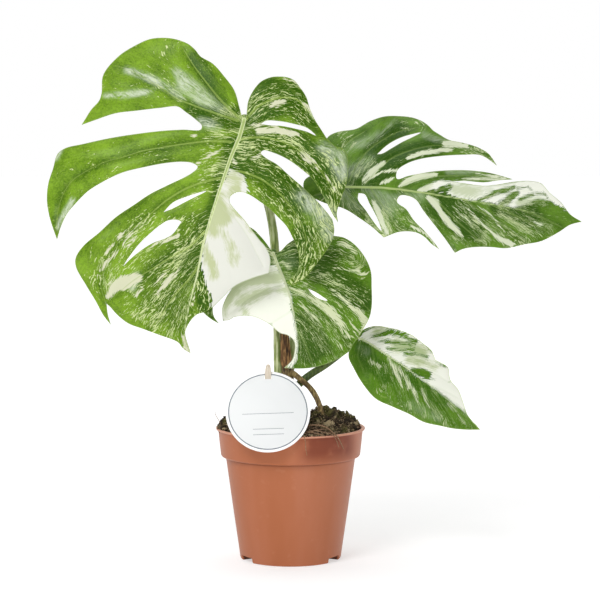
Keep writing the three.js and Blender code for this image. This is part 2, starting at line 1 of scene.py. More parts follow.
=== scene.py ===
# %% [markdown]
# # A potted variegated monstera
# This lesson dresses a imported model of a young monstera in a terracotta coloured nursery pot. Its
# solids are already in the scene, so each step makes one finer piece in the place of a solid, and
# then a material for it. The plant's lengths are written in millimetres, and MM turns them to
# metres.

import math
import random

import bpy
import numpy as np
from mathutils import Matrix, Vector, kdtree, noise


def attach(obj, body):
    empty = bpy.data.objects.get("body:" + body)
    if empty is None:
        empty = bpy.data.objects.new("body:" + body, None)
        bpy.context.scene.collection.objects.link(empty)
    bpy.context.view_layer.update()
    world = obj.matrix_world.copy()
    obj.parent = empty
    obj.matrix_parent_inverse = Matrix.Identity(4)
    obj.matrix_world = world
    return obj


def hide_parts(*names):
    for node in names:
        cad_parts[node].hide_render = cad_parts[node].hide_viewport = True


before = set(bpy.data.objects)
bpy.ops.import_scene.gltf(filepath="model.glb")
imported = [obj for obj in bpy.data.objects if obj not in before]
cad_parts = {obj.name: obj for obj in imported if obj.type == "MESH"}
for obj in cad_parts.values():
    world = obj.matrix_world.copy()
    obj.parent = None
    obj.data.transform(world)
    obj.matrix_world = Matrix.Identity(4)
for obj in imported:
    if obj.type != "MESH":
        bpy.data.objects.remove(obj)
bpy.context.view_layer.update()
MM = 0.001

# %% [markdown]
# ## Picking pieces
# An operator works on everything that is selected, and the loaded solids come in selected. So
# everything is deselected before a primitive is added, and what it made is named at once. After
# work on its faces they are turned outwards, because a Boolean needs to know the inside.


# %% Pick and name
def pick(*pieces):
    """Selects these pieces alone, or nothing."""
    bpy.ops.object.select_all(action="DESELECT")
    for piece in pieces:
        piece.select_set(True)
    if pieces:
        bpy.context.view_layer.objects.active = pieces[0]


def name_piece(name):
    piece = bpy.context.active_object
    piece.name = name
    piece.data.name = name
    return piece


def leave_edit():
    """Turns all faces outwards and goes back to object mode."""
    bpy.ops.mesh.select_all(action="SELECT")
    bpy.ops.mesh.normals_make_consistent(inside=False)
    bpy.ops.object.mode_set(mode="OBJECT")


print("pieces that came in selected:", len(bpy.context.selected_objects))

# %% [markdown]
# ## Finishing pieces
# A modifier is applied at once, so that the next step can work on its points. A finished piece has
# its place in its mesh, smooth faces and one material. Then it is hung on the body that it rides
# on, and the solids that it stands in for are hidden.

# %% Apply and finish
SMOOTH_ANGLE = 50


def apply_modifier(piece, kind, **settings):
    pick(piece)
    modifier = piece.modifiers.new(kind.title(), kind)
    for key, value in settings.items():
        setattr(modifier, key, value)
    bpy.ops.object.modifier_apply(modifier=modifier.name)


def finish_piece(piece, material, slot, *nodes, angle=SMOOTH_ANGLE):
    pick(piece)
    bpy.ops.object.transform_apply()
    bpy.ops.object.shade_smooth_by_angle(angle=math.radians(angle))
    piece.data.materials.clear()
    piece.data.materials.append(material)
    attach(piece, "root")
    if nodes:
        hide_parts(*nodes)
    print(piece.name, "faces:", len(piece.data.polygons))


print("edges look smooth up to", SMOOTH_ANGLE, "degrees")

# %% [markdown]
# ## Smooth curves
# Stalks, veins and leaf margins are all given by a few stops. A Catmull-Rom curve passes through
# every stop, and its centripetal kind makes no loops where stops lie close together, so a sharp
# notch in a margin stays clean.


# %% Curves through stops
def curve_through(stops, parts):
    """Points on the curve through the stops, with the given number of steps from stop to stop."""
    stops = [np.array(stop, float) for stop in stops]
    chain = [2 * stops[0] - stops[1], *stops, 2 * stops[-1] - stops[-2]]
    points = []
    for a, b, c, d in zip(chain, chain[1:], chain[2:], chain[3:]):
        ab, bc, cd = (np.sqrt(np.linalg.norm((q - p)[:3])) for p, q in ((a, b), (b, c), (c, d)))
        leave = ((b - a) / ab - (c - a) / (ab + bc) + (c - b) / bc) * bc
        arrive = ((c - b) / bc - (d - b) / (bc + cd) + (d - c) / cd) * bc
        for t in np.arange(parts) / parts:
            bend = (-3 * b + 3 * c - 2 * leave - arrive) * t**2
            turn = (2 * b - 2 * c + leave + arrive) * t**3
            points.append(b + leave * t + bend + turn)
    return np.array([*points, stops[-1]])


arc = curve_through([(0, 0), (3, 4), (9, 0)], 8)
print("points on a curve through three stops:", len(arc))

# %% [markdown]
# ## Even steps
# Such a curve has its points close together where its stops are. A cut-out needs them evenly
# spaced, so that its faces are all of about one size.


# %% Even steps along a line
def even_steps(points, step):
    """The same line with points at even distances of about one step."""
    reach = np.r_[0, np.cumsum(np.linalg.norm(np.diff(points, axis=0), axis=1))]
    count = max(1, round(reach[-1] / step))
    places = np.linspace(0, reach[-1], count + 1)
    return np.array([np.interp(places, reach, column) for column in points.T]).T


print("the same curve in steps of one:", len(even_steps(arc, 1)))

# %% [markdown]
# ## Colours and nodes
# Colours are read off the plant as sRGB hex values, but Blender mixes light in linear values, so
# one function turns them. Another adds a node with all its settings, values and links. Blender's
# names for such nodes begin with ShaderNode, so only the rest of the name is given.


# %% Colour and node helpers
def linear(hex_colour):
    parts = [int(hex_colour[k : k + 2], 16) / 255 for k in (1, 3, 5)]
    parts = [p / 12.92 if p <= 0.04045 else ((p + 0.055) / 1.055) ** 2.4 for p in parts]
    return (*parts, 1.0)


def set_sockets(node, sockets):
    """Gives each socket its value, or a link where the value is another node's output."""
    for socket, value in sockets.items():
        if isinstance(value, bpy.types.NodeSocket):
            node.id_data.links.new(value, node.inputs[socket])
        else:
            node.inputs[socket].default_value = value


def add_node(material, kind, sockets, **settings):
    """Adds a shader node of a kind, with settings and sockets, and gives its outputs."""
    made = material.node_tree.nodes.new("ShaderNode" + kind)
    for key, value in settings.items():
        setattr(made, key, value)
    set_sockets(made, sockets)
    return made.outputs


def new_material(name):
    material = bpy.data.materials.new(name)
    material.use_nodes = True
    return material, material.node_tree.nodes["Principled BSDF"]


print("middle grey in linear values:", round(linear("#808080")[0], 3))

# %% [markdown]
# ## Paint in glazes
# Most surfaces here are painted the same way: several noises are mixed into one field, and a
# paint is laid over the colour below wherever that field passes from a low to a high value. The
# strength can be another mask, so one stain can be kept inside another.


# %% Glazes
def mix_patterns(material, *terms):
    """Mixes patterns into one field, each by its own weight."""
    field = 0.0
    for pattern, weight in terms:
        field = add_node(
            material, "Math", {0: pattern, 1: weight, 2: field}, operation="MULTIPLY_ADD"
        )[0]
    return field


def glaze(material, under, paint, field, low, high, strength=1.0):
    """Lays a paint over a colour where the field goes from low to high. Gives colour and mask."""
    mask = add_node(
        material,
        "MapRange",
        {"Value": field, "From Min": low, "From Max": high, "To Max": strength},
        interpolation_type="SMOOTHSTEP",
    )[0]
    layers = {0: mask, 6: under, 7: linear(paint)}
    return add_node(material, "Mix", layers, data_type="RGBA")[2], mask


print("a glaze gives a colour and its mask")

# %% [markdown]
# ## The camera
# The photograph was taken from far off with a long lens, level with the upper leaves and looking
# slightly down. The ellipses of the pot's rim and foot gave the height and the pitch.

# %% Camera
CAMERA_PLACE = (7.6 * MM, -1600 * MM, 323 * MM)
CAMERA_PITCH = math.radians(4.1)

bpy.ops.object.camera_add(location=CAMERA_PLACE, rotation=(math.radians(90) - CAMERA_PITCH, 0, 0))
camera = bpy.context.active_object
camera.data.sensor_width = 36
camera.data.lens = 120
camera.data.clip_end = 60
bpy.context.scene.camera = camera
bpy.context.scene.view_settings.view_transform = "Standard"
print("camera in front of the plant, in metres:", -CAMERA_PLACE[1])

# %% [markdown]
# ## A white backdrop
# Behind the plant the studio is white, and behind the camera it is dark, which is why the waxy
# leaves keep their deep colour. A world can do that alone: its strength depends on the direction.

# %% Backdrop
studio = bpy.data.worlds.new("white_backdrop")
studio.use_nodes = True
looking = add_node(studio, "TexCoord", {})["Generated"]
ways = add_node(studio, "SeparateXYZ", {0: looking})
backdrop = add_node(
    studio,
    "MapRange",
    {"Value": ways[1], "From Min": -0.1, "From Max": 0.3, "To Min": 0.08, "To Max": 1.0},
)[0]
ceiling = add_node(
    studio,
    "MapRange",
    {"Value": ways[2], "From Min": 0.25, "From Max": 0.8, "To Min": 1.0, "To Max": 0.3},
)[0]
glow = add_node(studio, "Math", {0: backdrop, 1: ceiling}, operation="MULTIPLY")
backing = studio.node_tree.nodes["Background"]
set_sockets(backing, {"Color": (1, 1, 1, 1), "Strength": glow[0]})
bpy.context.scene.world = studio
print("backdrop nodes:", len(studio.node_tree.nodes))

# %% [markdown]
# ## Soft boxes
# Light comes from wide soft boxes: a strong one at the upper left, a weak one at the right, one
# overhead and one in front. Wide boxes make soft edges and no hard glints on the wax.


# %% Lights
def soft_light(name, place, size, watts):
    bpy.ops.object.light_add(type="AREA", location=place)
    light = bpy.context.active_object
    light.name = name
    light.data.shape = "DISK"
    light.data.size = size
    light.data.energy = watts
    aim = Vector((0, 0, 0.2)) - Vector(place)
    light.rotation_euler = aim.to_track_quat("-Z", "Y").to_euler()
    print(name, "watts:", watts)


soft_light("upper_left_light", (-0.8, -1.5, 1.75), 1.1, 31)
soft_light("right_light", (1.6, -0.9, 0.9), 1.0, 3)
soft_light("front_light", (0.2, -2.3, 0.6), 1.6, 10)
soft_light("overhead_light", (-0.2, 0.4, 2.3), 1.6, 16)

# %% [markdown]
# ## A pale floor
# The plant stands on plain white paper that is lit from behind and grows brighter away from the
# pot. A floor that glows a little more with the distance does the same, and keeps a soft shadow.

# %% Floor
FLOOR_PLACE = (0, 0, -0.2 * MM)

bpy.ops.mesh.primitive_circle_add(vertices=96, radius=30, fill_type="NGON", location=FLOOR_PLACE)
floor = name_piece("floor")
paper_white, shader = new_material("matt_white_floor")
spot = add_node(paper_white, "TexCoord", {})["Object"]
away = add_node(paper_white, "VectorMath", {0: spot}, operation="LENGTH")[1]
backlit = add_node(
    paper_white,
    "MapRange",
    {"Value": away, "From Min": 0.1, "From Max": 1.3, "To Min": 0.55, "To Max": 0.9},
)[0]
set_sockets(shader, {"Emission Strength": backlit, "Emission Color": (1, 1, 1, 1)})
set_sockets(shader, {"Base Color": linear("#c4c4c4"), "Roughness": 0.9})
set_sockets(shader, {"Specular IOR Level": 0.1})
floor.data.materials.append(paper_white)
print("floor laid at", FLOOR_PLACE[2], "metres")

# %% [markdown]
# ## The front blade
# A monstera blade is drawn here as it is seen from the front, in x and z. Its margin is a chain of
# smooth runs that meet at points and notches. Its midrib, holes and side veins are chains of stops
# too. The single figures say how it lies: it leans and curls from base to tip, tilts and arches
# from side to side, is creased along a midrib that bows to one side, is quilted between its
# veins, and ripples at its lobes. This is the largest of the four, cut nearly to the midrib.


# %% Front blade
def tell(name, leaf):
    """Prints how many stops or chains of stops a blade has under each name."""
    print(name, {key: len(chains) for key, chains in leaf.items() if type(chains) is list})


FRONT_LEAF = dict(
    base=(-36, 352), tip=(-78, 169), depth=-28, lean=-0.3, curl=0.0013, tilt=0, arch=0.0025,
    crease=0.14, crease_width=8, bow=-9.6, quilt=1.6, rib_radius=2.4, knob_radius=4.2,
    ripple=3.5, ripple_length=65, ripple_crest=60, ripple_reach=80,
)
FRONT_LEAF["midrib"] = [
    (-36, 352), (-39.5, 339), (-46.5, 322), (-56, 294), (-62, 275), (-68, 254), (-72.5, 231),
    (-79, 207), (-83, 186), (-79, 171),
]
FRONT_LEAF["margin"] = [
    [(-37, 351), (-40, 362), (-44, 375), (-52, 386), (-61, 396), (-71, 402), (-75, 407), (-81, 412),
     (-92, 416), (-102, 417), (-112, 416), (-124.5, 410.5), (-136.5, 402.5), (-148, 387.5),
     (-149, 373), (-151, 367), (-157.5, 360)],
    [(-165, 348), (-153.5, 352), (-137.5, 357), (-120, 359), (-102, 361), (-88, 362), (-82, 358),
     (-74, 352), (-69, 347), (-70, 344), (-84, 344), (-101, 343), (-126, 340), (-144, 337),
     (-162.5, 333), (-177.5, 329.5), (-183.5, 325), (-187, 314), (-191.5, 301.5), (-192.5, 289),
     (-190, 276.5)],
    [(-183, 258), (-180.5, 267), (-175.5, 278), (-168.5, 286.5), (-158.5, 296), (-146, 303.5),
     (-131, 310.5), (-113, 315), (-97, 318), (-84, 319), (-76, 318), (-72, 315), (-77, 310),
     (-95, 301), (-109, 294), (-121, 286), (-136, 276), (-149, 264), (-161.5, 253.5), (-168, 244),
     (-168, 236.5), (-160, 221.5), (-152.5, 209.5), (-146.5, 199)],
    [(-140.5, 191.5), (-143, 200)],
    [(-144, 208), (-140.5, 205), (-136.5, 200.5), (-127, 193), (-115, 188.5), (-103, 184),
     (-88, 178), (-84, 173)],
    [(-78, 169), (-81.5, 177), (-82.5, 185), (-79, 193.5), (-73, 200), (-67, 202)],
    [(-60, 206), (-52, 214), (-43, 222.5), (-30, 228.5)],
    [(-16.5, 232.5), (-15.5, 243.5), (-19, 252.5), (-24, 258.5), (-30, 266.5), (-36, 274.5),
     (-42, 281), (-47, 288), (-46.5, 292), (-40.5, 295.5), (-33, 294), (-23.5, 288), (-16.5, 283),
     (-10.5, 277), (-3, 269), (2, 259.5), (5.5, 251.5), (7, 241), (5.5, 233.5), (1, 228.5)],
    [(-3, 225), (2, 223), (9, 226.5), (15, 232), (22, 241), (28, 249), (33, 258), (34.5, 266)],
    [(33, 274), (28, 280.5), (19.5, 290), (9, 300), (-1, 308.5), (-10.5, 317), (-19, 322),
     (-23, 326), (-20.5, 328), (-14.5, 326.5), (-7, 323.5), (1, 319), (9, 313), (17, 306),
     (23, 297), (27.5, 289), (31, 282), (34, 276.5)],
    [(37.5, 271.5), (36.5, 279), (40, 290.5), (44, 301), (45.5, 311), (45.5, 319.5), (44, 326),
     (40, 330)],
    [(35, 331), (29, 337), (24, 344.5), (19, 352.5), (15, 362), (12.5, 370), (8, 377), (3, 383),
     (-3, 385.5), (-9, 386), (-15, 385.5), (-23, 382), (-29, 375), (-33, 366.5), (-34, 359)],
    [(-34.5, 351)],
]
FRONT_LEAF["holes"] = [
    [(-84.5, 272.5), (-88, 274), (-95, 273.5), (-101, 270), (-109.5, 263), (-119, 253.5),
     (-130, 238), (-125, 243), (-116.5, 250), (-107, 256), (-97.5, 259.5), (-91.5, 263)],
    [(-98.5, 280), (-91, 287.5), (-80.5, 292), (-65, 296.5), (-80.5, 288.5), (-91, 283)],
    [(-23, 348.5), (-19, 351), (-7, 350.5), (3, 348.5), (13, 345.5), (20, 339.5), (13, 342.5),
     (5.5, 344.5), (-7, 347), (-16.5, 347.5)],
]
FRONT_LEAF["veins_left"] = [
    [(-39.5, 353), (-52.5, 365), (-65.5, 380.5), (-77.5, 396.5), (-84, 407)],
    [(-41, 351), (-59, 357), (-77, 363.5), (-89, 368.5), (-100, 376), (-112, 383), (-125, 390.5),
     (-136.5, 394.5)],
    [(-46.5, 334.5), (-62.5, 335), (-78, 333.5), (-92, 331.5), (-104, 329.5), (-117, 327),
     (-130.5, 322.5), (-144.5, 319), (-158, 312.5), (-171.5, 304), (-180, 291.5), (-183.5, 275),
     (-183, 264)],
    [(-54.5, 306.5), (-70, 302.5), (-84.5, 296.5), (-99, 287), (-111.5, 276), (-124, 266),
     (-132.5, 258.5), (-138.5, 248), (-146, 234.5), (-148.5, 222.5), (-144.5, 208.5)],
    [(-63.5, 267.5), (-71, 260.5), (-78, 253), (-91, 246), (-106.5, 236.5), (-122.5, 226.5),
     (-136.5, 215)],
    [(-70.5, 239.5), (-78, 228.5), (-86, 220), (-94, 210), (-101.5, 198), (-109.5, 189.5)],
]
FRONT_LEAF["veins_right"] = [
    [(-34, 352.5), (-27, 361), (-17.5, 366.5), (-6, 369.5), (4.5, 368), (11.5, 362), (18, 353)],
    [(-39.5, 336.5), (-26, 338), (-10.5, 336), (5.5, 329), (18.5, 318), (29, 304), (34.5, 290.5),
     (36, 280)],
    [(-47.5, 312.5), (-35, 310.5), (-21, 304.5), (-7, 293), (5.5, 276), (12.5, 259.5), (10.5, 243),
     (4.5, 229)],
    [(-55.5, 289.5), (-44.5, 277.5), (-35, 264.5), (-27.5, 250.5), (-21, 238)],
]
tell("front blade", FRONT_LEAF)

# %% [markdown]
# ## The right blade
# This blade is seen at a slant, because it tilts steeply from side to side, so its lobes look
# narrow. The last lobes have grown nearly together.

# %% Right blade
RIGHT_LEAF = dict(
    base=(28, 301), tip=(236, 270.5), depth=26, lean=-0.1, curl=0.0003, tilt=0.78, arch=0.004,
    crease=0.1, crease_width=6, bow=0, quilt=1.2, rib_radius=1.6, knob_radius=3.4,
    ripple=3, ripple_length=50, ripple_crest=30, ripple_reach=50,
)
RIGHT_LEAF["midrib"] = [
    (28, 301), (45, 298.5), (73, 298), (88, 296.5), (110, 293.5), (134, 289.5), (162, 284.5),
    (197, 278), (233, 271),
]
RIGHT_LEAF["margin"] = [
    [(28, 301), (25.5, 312), (27.5, 328), (30.5, 339), (39, 343.5), (54, 346), (66, 352.5),
     (78, 356.5), (90, 357), (102.5, 355.5), (112, 351)],
    [(118.5, 344.5), (124, 341), (131, 337), (142.5, 334.5), (154, 331), (163, 325.5)],
    [(169.5, 315.5), (157, 324), (142, 324.5), (123.5, 323.5), (106, 321), (94.5, 317), (87, 311.5),
     (86.5, 305), (96.5, 307.5), (117, 311), (135.5, 312), (150, 311.5), (164, 309.5)],
    [(182, 304.5), (169, 303.5), (157.5, 302), (144.5, 303)],
    [(132, 303), (144.5, 301), (157.5, 299.5), (169, 300.5), (181.5, 302.5)],
    [(193.5, 303.5), (204.5, 301.5), (211.5, 293.5), (220, 286), (226.5, 276.5)],
    [(235.5, 270.5), (225.5, 268), (216, 262.5), (201, 255.5), (187.5, 253), (172, 250), (160, 251),
     (146.5, 251), (137.5, 249.5)],
    [(131, 246.5), (123.5, 257.5), (113, 271.5), (107, 279.5), (101.5, 288), (96, 291),
     (88.5, 291.5), (86, 286.5), (93, 281), (99.5, 271.5), (107, 264), (113, 257)],
    [(119, 249), (112.5, 253.5), (107, 259), (100.5, 262.5), (87.5, 263)],
    [(74.5, 258.5), (65, 267), (55, 274), (46.5, 279.5), (39.5, 282.5), (28, 285.5), (17.5, 290.5),
     (11, 296), (11, 303.5), (17.5, 307.5)],
]
RIGHT_LEAF["holes"] = [
    [(71, 325), (77, 330.5), (83.5, 335), (92, 339), (100.5, 341.5), (108, 343), (100.5, 339),
     (92, 335), (81.5, 329), (75, 325.5)],
    [(55, 293.5), (60, 292.5), (63.5, 285.5), (67.5, 278), (71, 270), (73, 263.5), (67, 270.5),
     (60.5, 280), (54.5, 288.5)],
]
RIGHT_LEAF["veins_left"] = [
    [(32, 304), (34.5, 313.5), (39, 327), (49, 336.5), (60.5, 343.5)],
    [(47.5, 303.5), (54, 316), (62.5, 327), (74.5, 336), (89, 343.5), (103.5, 347)],
    [(61, 301.5), (69.5, 310.5), (81.5, 321), (96.5, 327.5), (115, 332), (133.5, 332), (150, 329.5),
     (162.5, 322.5)],
    [(89.5, 298.5), (99.5, 303), (113.5, 306.5), (134, 307.5), (154.5, 307), (171, 305)],
    [(113, 294), (129.5, 298.5), (150, 301.5), (171, 302), (191.5, 302.5)],
    [(153.5, 288), (170, 292), (187, 295), (203.5, 296)],
    [(169.5, 284), (190.5, 287), (211, 287)],
]
RIGHT_LEAF["veins_right"] = [
    [(33.5, 298.5), (27, 294.5), (19.5, 292)],
    [(42.5, 297.5), (50.5, 286.5), (60.5, 275.5), (71.5, 265)],
    [(65, 297.5), (71.5, 287.5), (78.5, 277), (85.5, 267.5), (95.5, 262)],
    [(90.5, 296), (100, 288), (112, 270.5), (122.5, 256.5), (129, 248.5)],
    [(113, 293), (122.5, 283), (134.5, 270.5), (147, 259.5), (154.5, 252.5)],
    [(139, 289), (149, 282.5), (164, 272), (178, 262.5), (187, 255)],
    [(163, 284), (177, 277.5), (191.5, 270.5), (207, 262.5)],
    [(185.5, 280.5), (201.5, 274.5), (217.5, 267)],
]
tell("right blade", RIGHT_LEAF)

# %% [markdown]
# ## The middle blade
# The middle blade is round and hardly cut: it has one narrow hole, and a notch in its left half.
# It takes the same kinds of stops as the others, so that the same functions make all four.

# %% Middle blade
MIDDLE_LEAF = dict(
    base=(-13.5, 247), tip=(-5, 156), depth=-20, lean=-0.14, curl=0.0006, tilt=0, arch=0.0035,
    crease=0.12, crease_width=6, bow=8, quilt=1, rib_radius=1.8, knob_radius=3,
    ripple=2, ripple_length=50, ripple_crest=40, ripple_reach=50,
)
MIDDLE_LEAF["midrib"] = [
    (-13.5, 247), (-11, 240), (-5, 226), (-1, 215), (2.5, 200), (5, 185), (5, 172), (3, 161),
]
MIDDLE_LEAF["margin"] = [
    [(-13.5, 247), (-8, 248.5), (-2.5, 254), (5, 258.5), (16.5, 261), (25, 261.5), (34.5, 260.5),
     (42.5, 259), (51.5, 253), (60, 242), (64, 232), (64.5, 220), (64.5, 204.5), (62.5, 195),
     (54.5, 181.5), (49.5, 174.5), (47, 170), (39, 164.5), (27.5, 159.5), (15.5, 156.5), (3, 156)],
    [(-5, 156.5), (1.5, 163), (3.5, 170.5), (3, 177.5), (-2.5, 182.5), (-8, 184), (-13.5, 188.5),
     (-17.5, 191.5), (-24, 195), (-32.5, 197.5), (-44, 196.5), (-48.5, 194)],
    [(-53.5, 193.5), (-54, 203), (-51, 211.5), (-45.5, 220), (-41.5, 226), (-46, 225), (-54, 217),
     (-60.5, 207.5), (-61.5, 201), (-60.5, 196.5)],
    [(-56.5, 191), (-63.5, 195), (-70, 201), (-74, 211), (-72.5, 225.5), (-66, 243), (-55.5, 257),
     (-44.5, 266), (-32.5, 267.5), (-22.5, 259)],
]
MIDDLE_LEAF["holes"] = [
    [(14, 219), (19.5, 216.5), (25, 213), (29.5, 209.5), (23, 211), (17, 215)],
]
MIDDLE_LEAF["veins_left"] = [
    [(-14.5, 244.5), (-27, 251), (-40, 257), (-54, 252.5)],
    [(-10.5, 235), (-22.5, 235), (-36, 233.5), (-49.5, 225.5), (-59, 212), (-62, 198)],
    [(-5, 222.5), (-19.5, 218), (-33.5, 211), (-46, 200.5)],
    [(1.5, 202), (-8, 196), (-16, 191)],
]
MIDDLE_LEAF["veins_right"] = [
    [(-12, 244), (-0.5, 248), (12.5, 250), (25, 249.5), (39.5, 247.5), (49, 242.5)],
    [(-8, 232), (6, 230.5), (22, 226), (37.5, 219.5), (52, 211.5), (62.5, 201.5)],
    [(-3.5, 219.5), (11, 213.5), (25, 202), (37.5, 188), (47, 173.5)],
    [(0.5, 206), (11, 197.5), (22, 185), (31.5, 172), (36, 165)],
    [(4.5, 188), (11, 177), (15.5, 166), (18.5, 158)],
]
tell("middle blade", MIDDLE_LEAF)

# %% [markdown]
# ## The lower blade
# The smallest blade is whole, as the first leaves of a young monstera are. So a few smooth runs
# are enough for its margin, and it needs no holes.

# %% Lower blade
LOWER_LEAF = dict(
    base=(55, 177.5), tip=(151.5, 105.5), depth=4, lean=-0.1, curl=-0.0004, tilt=0.35, arch=0.006,
    crease=0.12, crease_width=5, bow=0, quilt=1, rib_radius=1.2, knob_radius=2.6,
    ripple=1.2, ripple_length=38, ripple_crest=30, ripple_reach=28,
)
LOWER_LEAF["midrib"] = [
    (55, 177.5), (63, 173.5), (77, 164), (89, 156.5), (103, 146.5), (116.5, 136.5), (133, 122),
    (149, 108),
]
LOWER_LEAF["margin"] = [
    [(55, 177.5), (57.5, 183), (66, 186.5), (72, 186.5), (80.5, 185), (87.5, 183.5), (98.5, 179),
     (107, 172.5), (114, 166.5)],
    [(117, 159.5), (123, 156.5), (127, 153.5), (128.5, 144.5), (135, 136), (139.5, 123.5),
     (142, 116.5)],
    [(151.5, 105.5), (142, 105.5), (130, 106.5), (120, 108.5), (106.5, 111.5), (94.5, 118),
     (82.5, 123), (68.5, 129.5), (57.5, 142), (51, 153), (46.5, 163.5), (49.5, 173)],
]
LOWER_LEAF["holes"] = []
LOWER_LEAF["veins_left"] = [
    [(56.5, 176.5), (65.5, 180.5), (78.5, 183.5)],
    [(65.5, 171), (80, 174), (96.5, 173), (111, 167)],
    [(77, 163), (89.5, 164.5), (104.5, 162), (119, 156.5)],
    [(92, 153.5), (104, 152.5), (117, 148.5), (128, 141.5)],
    [(109, 141), (120, 137.5), (133, 130.5)],
    [(124.5, 130.5), (132.5, 126), (140.5, 118.5)],
]
LOWER_LEAF["veins_right"] = [
    [(56.5, 175), (54, 163.5), (59, 150.5)],
    [(65.5, 171), (68, 155.5), (75, 139.5)],
    [(77, 163), (81.5, 146), (89, 127)],
    [(89.5, 154.5), (96, 136.5), (103.5, 119.5)],
    [(102.5, 145), (110, 128.5), (118, 114.5)],
    [(115, 136), (123.5, 123), (131.5, 110.5)],
    [(128, 127), (135.5, 117), (142, 108.5)],
]
tell("lower blade", LOWER_LEAF)

# %% [markdown]
# ## Where a blade lies
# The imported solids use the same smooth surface: the blade leans and curls from base to tip, arches
# from side to side, folds along the midrib, and its lobes swell and sink. Repeating it in the same
# numbers keeps the fine blade exactly where its solid is.


# %% The surface of a blade
def blade_depth(leaf, x, z):
    base = np.array(leaf["base"], float)
    tip = np.array(leaf["tip"], float)
    length = np.hypot(*(tip - base))
    run, rise = (tip - base) / length
    along = (x - base[0]) * run + (z - base[1]) * rise
    part = np.clip(along / length, 0, 1)
    across = (z - base[1]) * run - (x - base[0]) * rise - leaf["bow"] * 4 * part * (1 - part)
    crease = np.hypot(across, leaf["crease_width"]) - leaf["crease_width"]
    edge = np.minimum(1, (across / leaf["ripple_reach"]) ** 2)
    wave = np.cos((along - leaf["ripple_crest"]) / leaf["ripple_length"] * 2 * np.pi)
    lengthwise = leaf["depth"] + leaf["lean"] * along + leaf["curl"] * along**2
    crosswise = leaf["tilt"] * across + leaf["arch"] * across**2 - leaf["crease"] * crease
    return lengthwise + crosswise - leaf["ripple"] * wave * edge


print("depth of the front tip:", round(blade_depth(FRONT_LEAF, *FRONT_LEAF["tip"]), 1))

# %% [markdown]
# ## Measuring on a blade
# Veins, streaks and patches all depend on how near a spot is to some line. One function measures
# the distance from many spots to a line at once, how far along the line the nearest place is, and
# on which side of it the spot lies. A line can be lengthened past its first or last stop.

# %% Distances to lines
FAR = 1e4


def measure(spots, line, before=False, beyond=False):
    line = np.array(line, float)[:, :2]
    nearest = np.full(len(spots), 1e9)
    reach = np.zeros(len(spots))
    side = np.zeros(len(spots))
    start = 0.0
    for k, (a, b) in enumerate(zip(line, line[1:])):
        length = np.hypot(*(b - a))
        way = (b - a) / length
        offset = spots - a
        low = -FAR if before and k == 0 else 0
        high = FAR if beyond and k == len(line) - 2 else length
        held = np.clip(offset @ way, low, high)
        gap = np.hypot(*(offset - held[:, None] * way).T)
        nearer = gap < nearest
        nearest[nearer] = gap[nearer]
        reach[nearer] = (start + held)[nearer]
        side[nearer] = (way[0] * offset[:, 1] - way[1] * offset[:, 0])[nearer]
        start += length
    return nearest, reach, np.sign(side)


margin_stops = np.array([stop for run in FRONT_LEAF["margin"] for stop in run], float)
print("widest from the midrib:", measure(margin_stops, FRONT_LEAF["midrib"])[0].max().round(1))

# %% [markdown]
# ## Strokes and areas
# Markings are painted in two ways. A stroke is a chain of places, each with a radius, like the
# trace of a brush. An area is a closed outline. Both say how deep a spot lies inside them.


# %% How deep inside a mark
def stroke_field(spots, strokes):
    """How deep each spot lies inside the nearest stroke, below zero outside."""
    field = np.full(len(spots), -99.0)
    for stroke in strokes:
        for (ax, az, ar), (bx, bz, br) in zip(stroke, stroke[1:]):
            way = np.array([bx - ax, bz - az])
            part = np.clip((spots - (ax, az)) @ way / (way @ way), 0, 1)
            gap = np.hypot(*(spots - (ax, az) - part[:, None] * way).T)
            field = np.maximum(field, ar + part * (br - ar) - gap)
    return field


def area_field(spots, outlines):
    """The same for closed outlines."""
    field = np.full(len(spots), -99.0)
    for outline in outlines:
        closed = [*outline, outline[0]]
        inside = np.zeros(len(spots), bool)
        for (ax, az), (bx, bz) in zip(closed, closed[1:]):
            crosses = (spots[:, 1] < az) != (spots[:, 1] < bz)
            where = ax + (spots[:, 1] - az) / (bz - az if bz != az else 1) * (bx - ax)
            inside ^= crosses & (spots[:, 0] < where)
        gap = measure(spots, closed)[0]
        field = np.maximum(field, np.where(inside, gap, -gap))
    return field


trial_spots = np.array([(0, 0), (0, 5), (0, 10)], float)
trial_stroke = [(-9, 0, 5), (9, 0, 5)]
print("0, 5 and 10 mm off a 5 mm stroke:", stroke_field(trial_spots, [trial_stroke]))

# %% [markdown]
# ## Soft spreads
# Some marks have no edge: where dashes lie dense, or where a sheen fades. They are full inside
# their stroke and fade outside it over about its own radius, and near strokes add up to a limit.


# %% Fading marks
def soft_spread(spots, strokes, core=0.0, most=1.0):
    """One inside each stroke, or inside its core, fading over about its own radius."""
    spread = np.zeros(len(spots))
    for stroke in strokes:
        radius = sum(stop[2] for stop in stroke) / len(stroke)
        outside = np.maximum(core * radius - stroke_field(spots, [stroke]), 0)
        spread += np.exp(-((outside / (0.7 * radius)) ** 2))
    return np.minimum(spread, most)


print("and its spread there:", soft_spread(trial_spots, [trial_stroke]).round(2))

# %% [markdown]
# ## The grain of a blade
# Streaks on a variegated blade run with the side veins, because each streak is one line of cells
# that grew outwards. So the markings need coordinates that follow the veins: how far out along
# them a spot lies, and how far it lies from one vein to the next. Each spot is placed between the
# last vein that it has passed and the next one, and both figures are mixed from those two.

# %% Coordinates that follow the veins
VEIN_SPACING = 25
OTHER_HALF = 300


